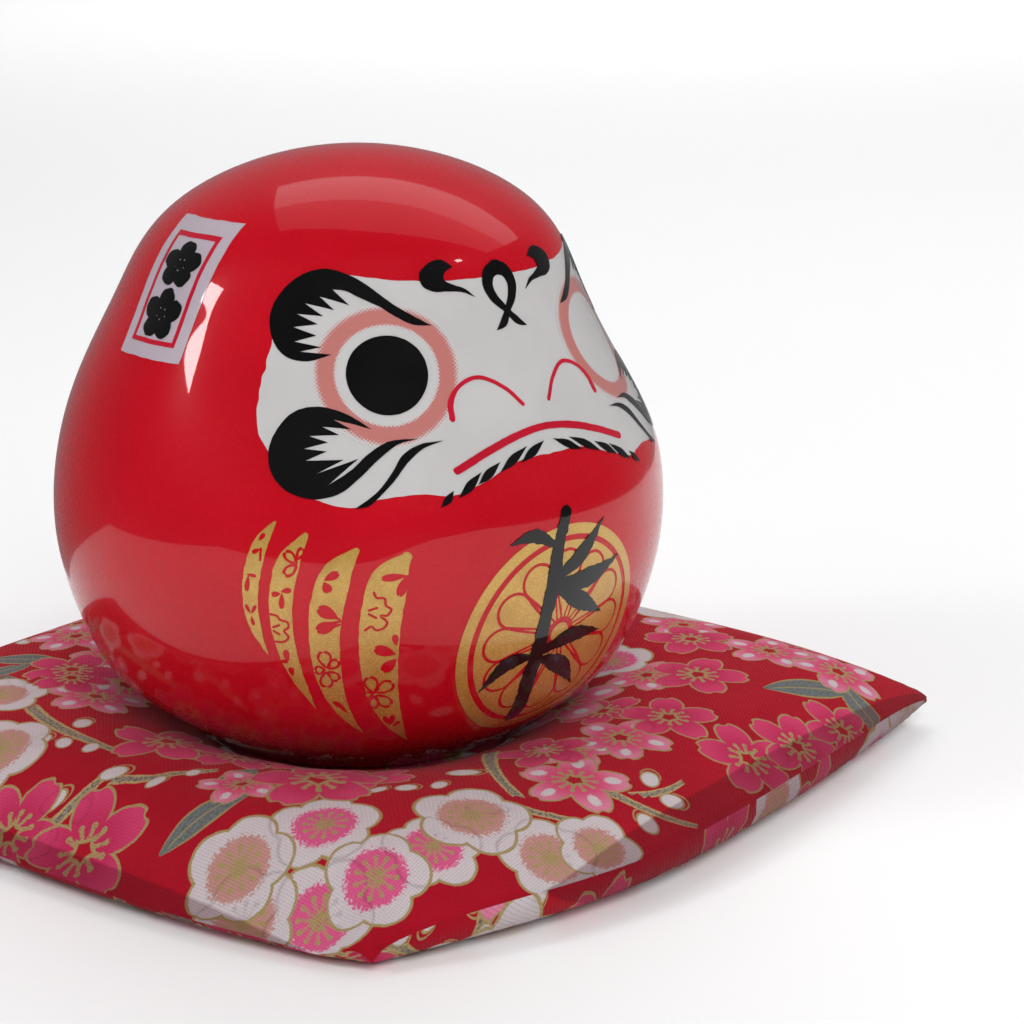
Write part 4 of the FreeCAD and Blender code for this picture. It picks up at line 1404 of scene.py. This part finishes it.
MAIN_BRANCHES = [
    (-50, 17, 14, 5, -98, BRANCH), (-66, 5, 11, 5, -25, BRANCH), (-54, -6, 9, 4, -50, BRANCH),
    (-22, -46, 13, 5, -130, BRANCH), (-30, -57, 8, 4, -70, BRANCH), (-14, -68, 8, 3.5, -62, BRANCH),
    (-10, -66, 7, 3, -15, BRANCH),
]
KINDS = [CHERRY, CHERRY, CHERRY, PALE_CHERRY, PLUM_TAN, PLUM_PINK, PLUM_WHITE]
FLOWER_LAYERS = 3


def print_stamps():
    """Stamps (u, v, long, wide, turn, kind, panel) of the flower layers, of the leaves and
    buds, and of the branches: the main ones, and more scattered where there is room."""
    draw = random.Random(7)
    layers = [[] for _ in range(FLOWER_LAYERS)]
    taken = {0: [], 1: []}

    def room(u, v, radius, others, share):
        return all(math.hypot(u - o[0], v - o[1]) > share * (radius + o[2]) for o in others)

    def place_flower(u, v, radius, turn, kind, panel):
        here = sorted(
            range(FLOWER_LAYERS),
            key=lambda k: not room(u, v, radius, [o for o in layers[k] if o[6] == panel], 1.0),
        )
        layers[here[0]].append((u, v, radius, radius, turn, kind, panel))
        taken[panel].append((u, v, radius))

    for u, v, radius, turn, kind in MAIN_FLOWERS:
        place_flower(u, v, radius, turn, kind, 0)
    for panel, wanted in ((0, 30), (1, 62)):
        for _ in range(wanted * 12):
            u, v = draw.uniform(-74, 74), draw.uniform(-74, 74)
            radius, turn = draw.uniform(7.2, 9.8), draw.uniform(0, 72)
            kind = draw.choice(KINDS)
            near_main = panel == 0 and (v < -22 or u < -18) and not (u > 20 and v > -20)
            if near_main or not room(u, v, radius, taken[panel], 0.72):
                continue
            place_flower(u, v, radius, turn, kind, panel)
    sprigs = [(*s, 0) for s in MAIN_SPRIGS]
    branches = [(*b, 0) for b in MAIN_BRANCHES]
    for panel, wanted in ((0, 20), (1, 36)):
        for _ in range(wanted):
            u, v, turn = draw.uniform(-70, 70), draw.uniform(-70, 70), draw.uniform(0, 180)
            if panel == 0 and (v < -18 or u < -18):
                continue
            long = draw.uniform(9, 14)
            branches.append((u, v, long, 4.5, turn, BRANCH, panel))
            a = math.radians(turn)
            for k in range(5):
                along, side = long * (k / 2 - 1) * 0.8, 2.2 * (1 if k % 2 else -1)
                sprigs.append((
                    u + along * math.cos(a) - side * math.sin(a),
                    v + along * math.sin(a) + side * math.cos(a),
                    draw.uniform(1.8, 2.5), draw.uniform(1.3, 1.7), turn + draw.uniform(-60, 60), BUD, panel,
                ))
            sprigs.append((u + 12 * math.cos(a + 0.7), v + 12 * math.sin(a + 0.7), 7.5, 2.5,
                           turn + 50, LEAF, panel))
    return layers, sprigs, branches


# ---- the cloth's colours ----
CLOTH_RED = (0.41, 0.004, 0.016, 1)
INK_GOLD = (0.46, 0.36, 0.15, 1)
HOT_PINK = (0.66, 0.060, 0.165, 1)
DEEP_PINK = (0.52, 0.024, 0.095, 1)
SOFT_PINK = (0.68, 0.22, 0.33, 1)
PRINT_WHITE = (0.60, 0.54, 0.56, 1)
TAN = (0.50, 0.26, 0.22, 1)
PLUM_CENTRE = (0.66, 0.10, 0.24, 1)
LEAF_GREEN = (0.155, 0.20, 0.195, 1)
BARK = (0.13, 0.105, 0.085, 1)
THREADS = 0.44              # pitch of the weave, mm


def is_kind(code, kind):
    return (code - (kind + 1)).math("ABSOLUTE").math("LESS_THAN", 0.5)


def fold(x, y, count, turn=0.0):
    """Place in one of the equal wedges about a centre: along its middle and across it."""
    far = (x * x + y * y).math("SQRT")
    wedge = 2 * math.pi / count
    angle = (x.math("ARCTAN2", y) / wedge + (turn + 100.5)).math("FRACT") - 0.5
    return far, far * (angle * wedge).math("COSINE"), far * (angle * wedge).math("SINE")


def flower_layer(tree, under, name, rough_edge, grain):
    x, y, code = split(tree, attribute(tree, name))
    x = x + rough_edge * 0.05
    y = y + rough_edge * 0.04
    far, along, across = fold(x, y, 5)
    # five separate notched petals
    e1 = (along - 0.56) / 0.42
    e2 = across / 0.325
    notch = (across * -14.0 * (across * 14.0)).math("EXPONENT") * along.ramp(0.80, 0.98) * 0.25
    petal_edge = (e1 * e1 + e2 * e2).math("SQRT") + notch
    # five round lobes grown together
    f1 = (along - 0.50) / 0.47
    f2 = across / 0.47
    lobe_edge = (f1 * f1 + f2 * f2).math("SQRT").math("MINIMUM", far / 0.5)
    is_plum = code.math("GREATER_THAN", PLUM_TAN + 0.5)
    edge = petal_edge + (lobe_edge - petal_edge) * is_plum
    shown = code.math("GREATER_THAN", 0.5)
    fill_share = edge.ramp(1.03, 0.97) * shown
    line = (edge - 1.0).math("ABSOLUTE").ramp(0.085, 0.035) * shown
    line = line * far.ramp(1.16, 1.10)
    # petals: hot or pale pink, paler towards the tip or blotched with white
    tip = far.ramp(0.30, 0.92)
    hot = paint(tree, tip * 0.75, DEEP_PINK, HOT_PINK)
    blotch_x, blotch_y = (along - 0.66) / 0.17, across / 0.12
    blotch = (blotch_x * blotch_x + blotch_y * blotch_y + grain * 0.8).ramp(1.5, 0.8)
    pale = paint(tree, blotch, paint(tree, tip, HOT_PINK, SOFT_PINK), PRINT_WHITE)
    colour = paint(tree, is_kind(code, PALE_CHERRY), hot, pale)
    # plums: white lobes with a stippled middle
    stipple = (far.ramp(0.80, 0.32) + (grain - 0.5)).ramp(0.36, 0.66)
    stipple = stipple * far.ramp(0.85, 0.45).ramp(0, 0.7)
    centre = paint(tree, is_kind(code, PLUM_PINK), TAN, PLUM_CENTRE)
    stipple = stipple * (1 - is_kind(code, PLUM_WHITE) * 0.75)
    plum = paint(tree, stipple, PRINT_WHITE, centre)
    colour = paint(tree, is_plum, colour, plum)
    # stamens: gold rays with dots at their ends
    _, ray_along, ray_across = fold(x, y, 11, 0.3)
    ray = ray_across.math("ABSOLUTE").ramp(0.045, 0.02) * far.ramp(0.37, 0.33) * (1 - is_plum * 0.4)
    d1, d2 = (ray_along - 0.36) / 0.05, ray_across / 0.05
    dots = (d1 * d1 + d2 * d2).ramp(1.3, 0.7)
    core = far.ramp(0.22, 0.08) * grain.ramp(0.35, 0.55)
    gold = (ray + dots + core).math("MINIMUM", 1.0) * grain.ramp(0.25, 0.5)
    out = paint(tree, fill_share, under, colour)
    out = paint(tree, (line * 0.95 + gold * fill_share).math("MINIMUM", 1.0), out, INK_GOLD)
    return out, (line + gold * fill_share).math("MINIMUM", 1.0)


def sprig_layer(tree, under, rough_edge, grain):
    x, y, code = split(tree, attribute(tree, "sprigs"))
    shown = code.math("GREATER_THAN", 0.5)
    leaf = is_kind(code, LEAF)
    bud = is_kind(code, BUD)
    y = y + rough_edge * 0.08
    pointed = y.math("ABSOLUTE") / (1.02 - x * x).math("MAXIMUM", 0.02)
    round_edge = (x * x + y * y).math("SQRT") * 1.12
    edge = (pointed + x.math("ABSOLUTE").ramp(0.94, 1.0) * 2.0) * leaf + round_edge * bud
    fill_share = edge.ramp(1.0, 0.92) * shown
    line = (edge - 0.95).math("ABSOLUTE").ramp(0.13, 0.05) * shown
    vein = (y + x * x * 0.12).math("ABSOLUTE").ramp(0.11, 0.04) * x.math("ABSOLUTE").ramp(0.85, 0.7) * leaf
    second = ((x - 0.25) * (x - 0.25) + y * y).math("SQRT")
    hoop = (second - 0.95).math("ABSOLUTE").ramp(0.1, 0.04) * bud * x.ramp(0.2, 0.5)
    green = paint(tree, grain.ramp(0.3, 0.7), LEAF_GREEN, (0.10, 0.125, 0.12, 1))
    out = paint(tree, fill_share, under, paint(tree, bud, green, PRINT_WHITE))
    gold = (line + vein * 0.7 + hoop).math("MINIMUM", 1.0)
    return paint(tree, gold * 0.9, out, INK_GOLD), gold


def branch_layer(tree, under, rough_edge, grain):
    x, y, code = split(tree, attribute(tree, "branches"))
    shown = code.math("GREATER_THAN", 0.5) * x.math("ABSOLUTE").ramp(1.0, 0.9)
    bent = y - (x * x - 0.4) * 0.45 + rough_edge * 0.12
    width = 0.17 - x * 0.05
    body = (bent.math("ABSOLUTE") / width).ramp(1.1, 0.9) * shown
    line = ((bent.math("ABSOLUTE") / width) - 1.0).math("ABSOLUTE").ramp(0.45, 0.15) * shown
    out = paint(tree, body, under, paint(tree, grain.ramp(0.35, 0.6), BARK, (0.30, 0.27, 0.20, 1)))
    return paint(tree, line * grain.ramp(0.2, 0.5), out, INK_GOLD), line


def printed_cotton():
    made, tree = material("printed_cotton", Specular_IOR_Level=0.10, Sheen_Weight=0.05, Sheen_Roughness=0.5)
    where = attribute(tree, "cloth_place")
    u, v, panel = split(tree, where)
    spot = joined(tree, u, v, panel * 50.0)
    rough_edge = noisy(tree, spot, 0.55, 2.0) - 0.5
    grain = noisy(tree, spot, 2.1, 1.0)
    ground = paint(tree, noisy(tree, spot, 0.08, 2.0).ramp(0.3, 0.7), CLOTH_RED, (0.36, 0.003, 0.013, 1))
    colour, _ = branch_layer(tree, ground, rough_edge, grain)
    colour, gold = sprig_layer(tree, colour, rough_edge, grain)
    for k in range(FLOWER_LAYERS):
        colour, more = flower_layer(tree, colour, "flowers_%d" % (FLOWER_LAYERS - 1 - k), rough_edge, grain)
        gold = gold.math("MAXIMUM", more)
    # plain weave: warp over weft over warp
    warp, weft = u * (math.pi / THREADS), v * (math.pi / THREADS)
    over = (u / THREADS).math("FLOOR") + (v / THREADS).math("FLOOR")
    odd = (over * 0.5).math("FRACT") * 2.0
    up_warp = warp.math("SINE").math("ABSOLUTE")
    up_weft = weft.math("SINE").math("ABSOLUTE")
    thread = up_warp * odd + up_weft * (1 - odd)
    # painted shade in the gaps between the threads
    weave_gap_shade = (up_warp * up_weft).ramp(0.32, 0.0)
    slub = noisy(tree, joined(tree, u * 0.25, v * 2.5), 1.0, 2.0)
    # darker in the weave's gaps as painted shade, and with the slubs' own uneven tone
    colour = paint(tree, (weave_gap_shade * 0.26 + slub * 0.10).math("MINIMUM", 1.0), colour, (0.16, 0.004, 0.02, 1))
    # painted shadow: the cloth is darkened along the seam's groove
    seam = u.math("ABSOLUTE").math("MAXIMUM", v.math("ABSOLUTE")).ramp(CUSHION_HALF - 0.6, CUSHION_HALF - 0.1)
    colour = paint(tree, seam * 0.5, colour, (0.09, 0.002, 0.006, 1))
    weave = bump(tree, thread, 0.00006, 0.8)
    return finish(
        made, Base_Color=colour, Roughness=0.84 - gold * grain.ramp(0.45, 0.8) * 0.42,
        Metallic=gold * 0.35, Normal=bump(tree, noisy(tree, spot, 0.35, 3.0), 0.0003, 0.5, after=weave),
    )


def loose_wadding():
    made, tree = material("wadding", Specular_IOR_Level=0.1, Sheen_Weight=0.4)
    p = place(tree)
    tufts = noisy(tree, p, 420.0, 5.0, 0.7)
    # painted shade: the wadding is greyer in the hollows between its tufts, lighter on their tops
    return finish(
        made, Base_Color=paint(tree, tufts, (0.62, 0.61, 0.58, 1), (0.86, 0.85, 0.83, 1)),
        Roughness=tufts * 0.1 + 0.88, Normal=bump(tree, tufts, 0.0012),
    )


def sewing_thread():
    made, tree = material("sewing_thread", Specular_IOR_Level=0.3, Sheen_Weight=0.3)
    p = place(tree)
    x, y, z = split(tree, p)
    twist = ((x + y * 0.4 + z * 1.3) * (2 * math.pi / 0.00028)).math("SINE")
    # painted shade: the thread is darker in the grooves of its twist and lighter on its ridges
    base = paint(tree, twist * 0.5 + 0.5, (0.30, 0.004, 0.016, 1), (0.55, 0.014, 0.045, 1))
    return finish(
        made, Base_Color=base, Roughness=noisy(tree, p, 3000.0) * 0.2 + 0.6,
        Normal=bump(tree, twist, 0.00005),
    )


PRINTED_COTTON = printed_cotton()
WADDING = loose_wadding()
THREAD = sewing_thread()
build_cushion()
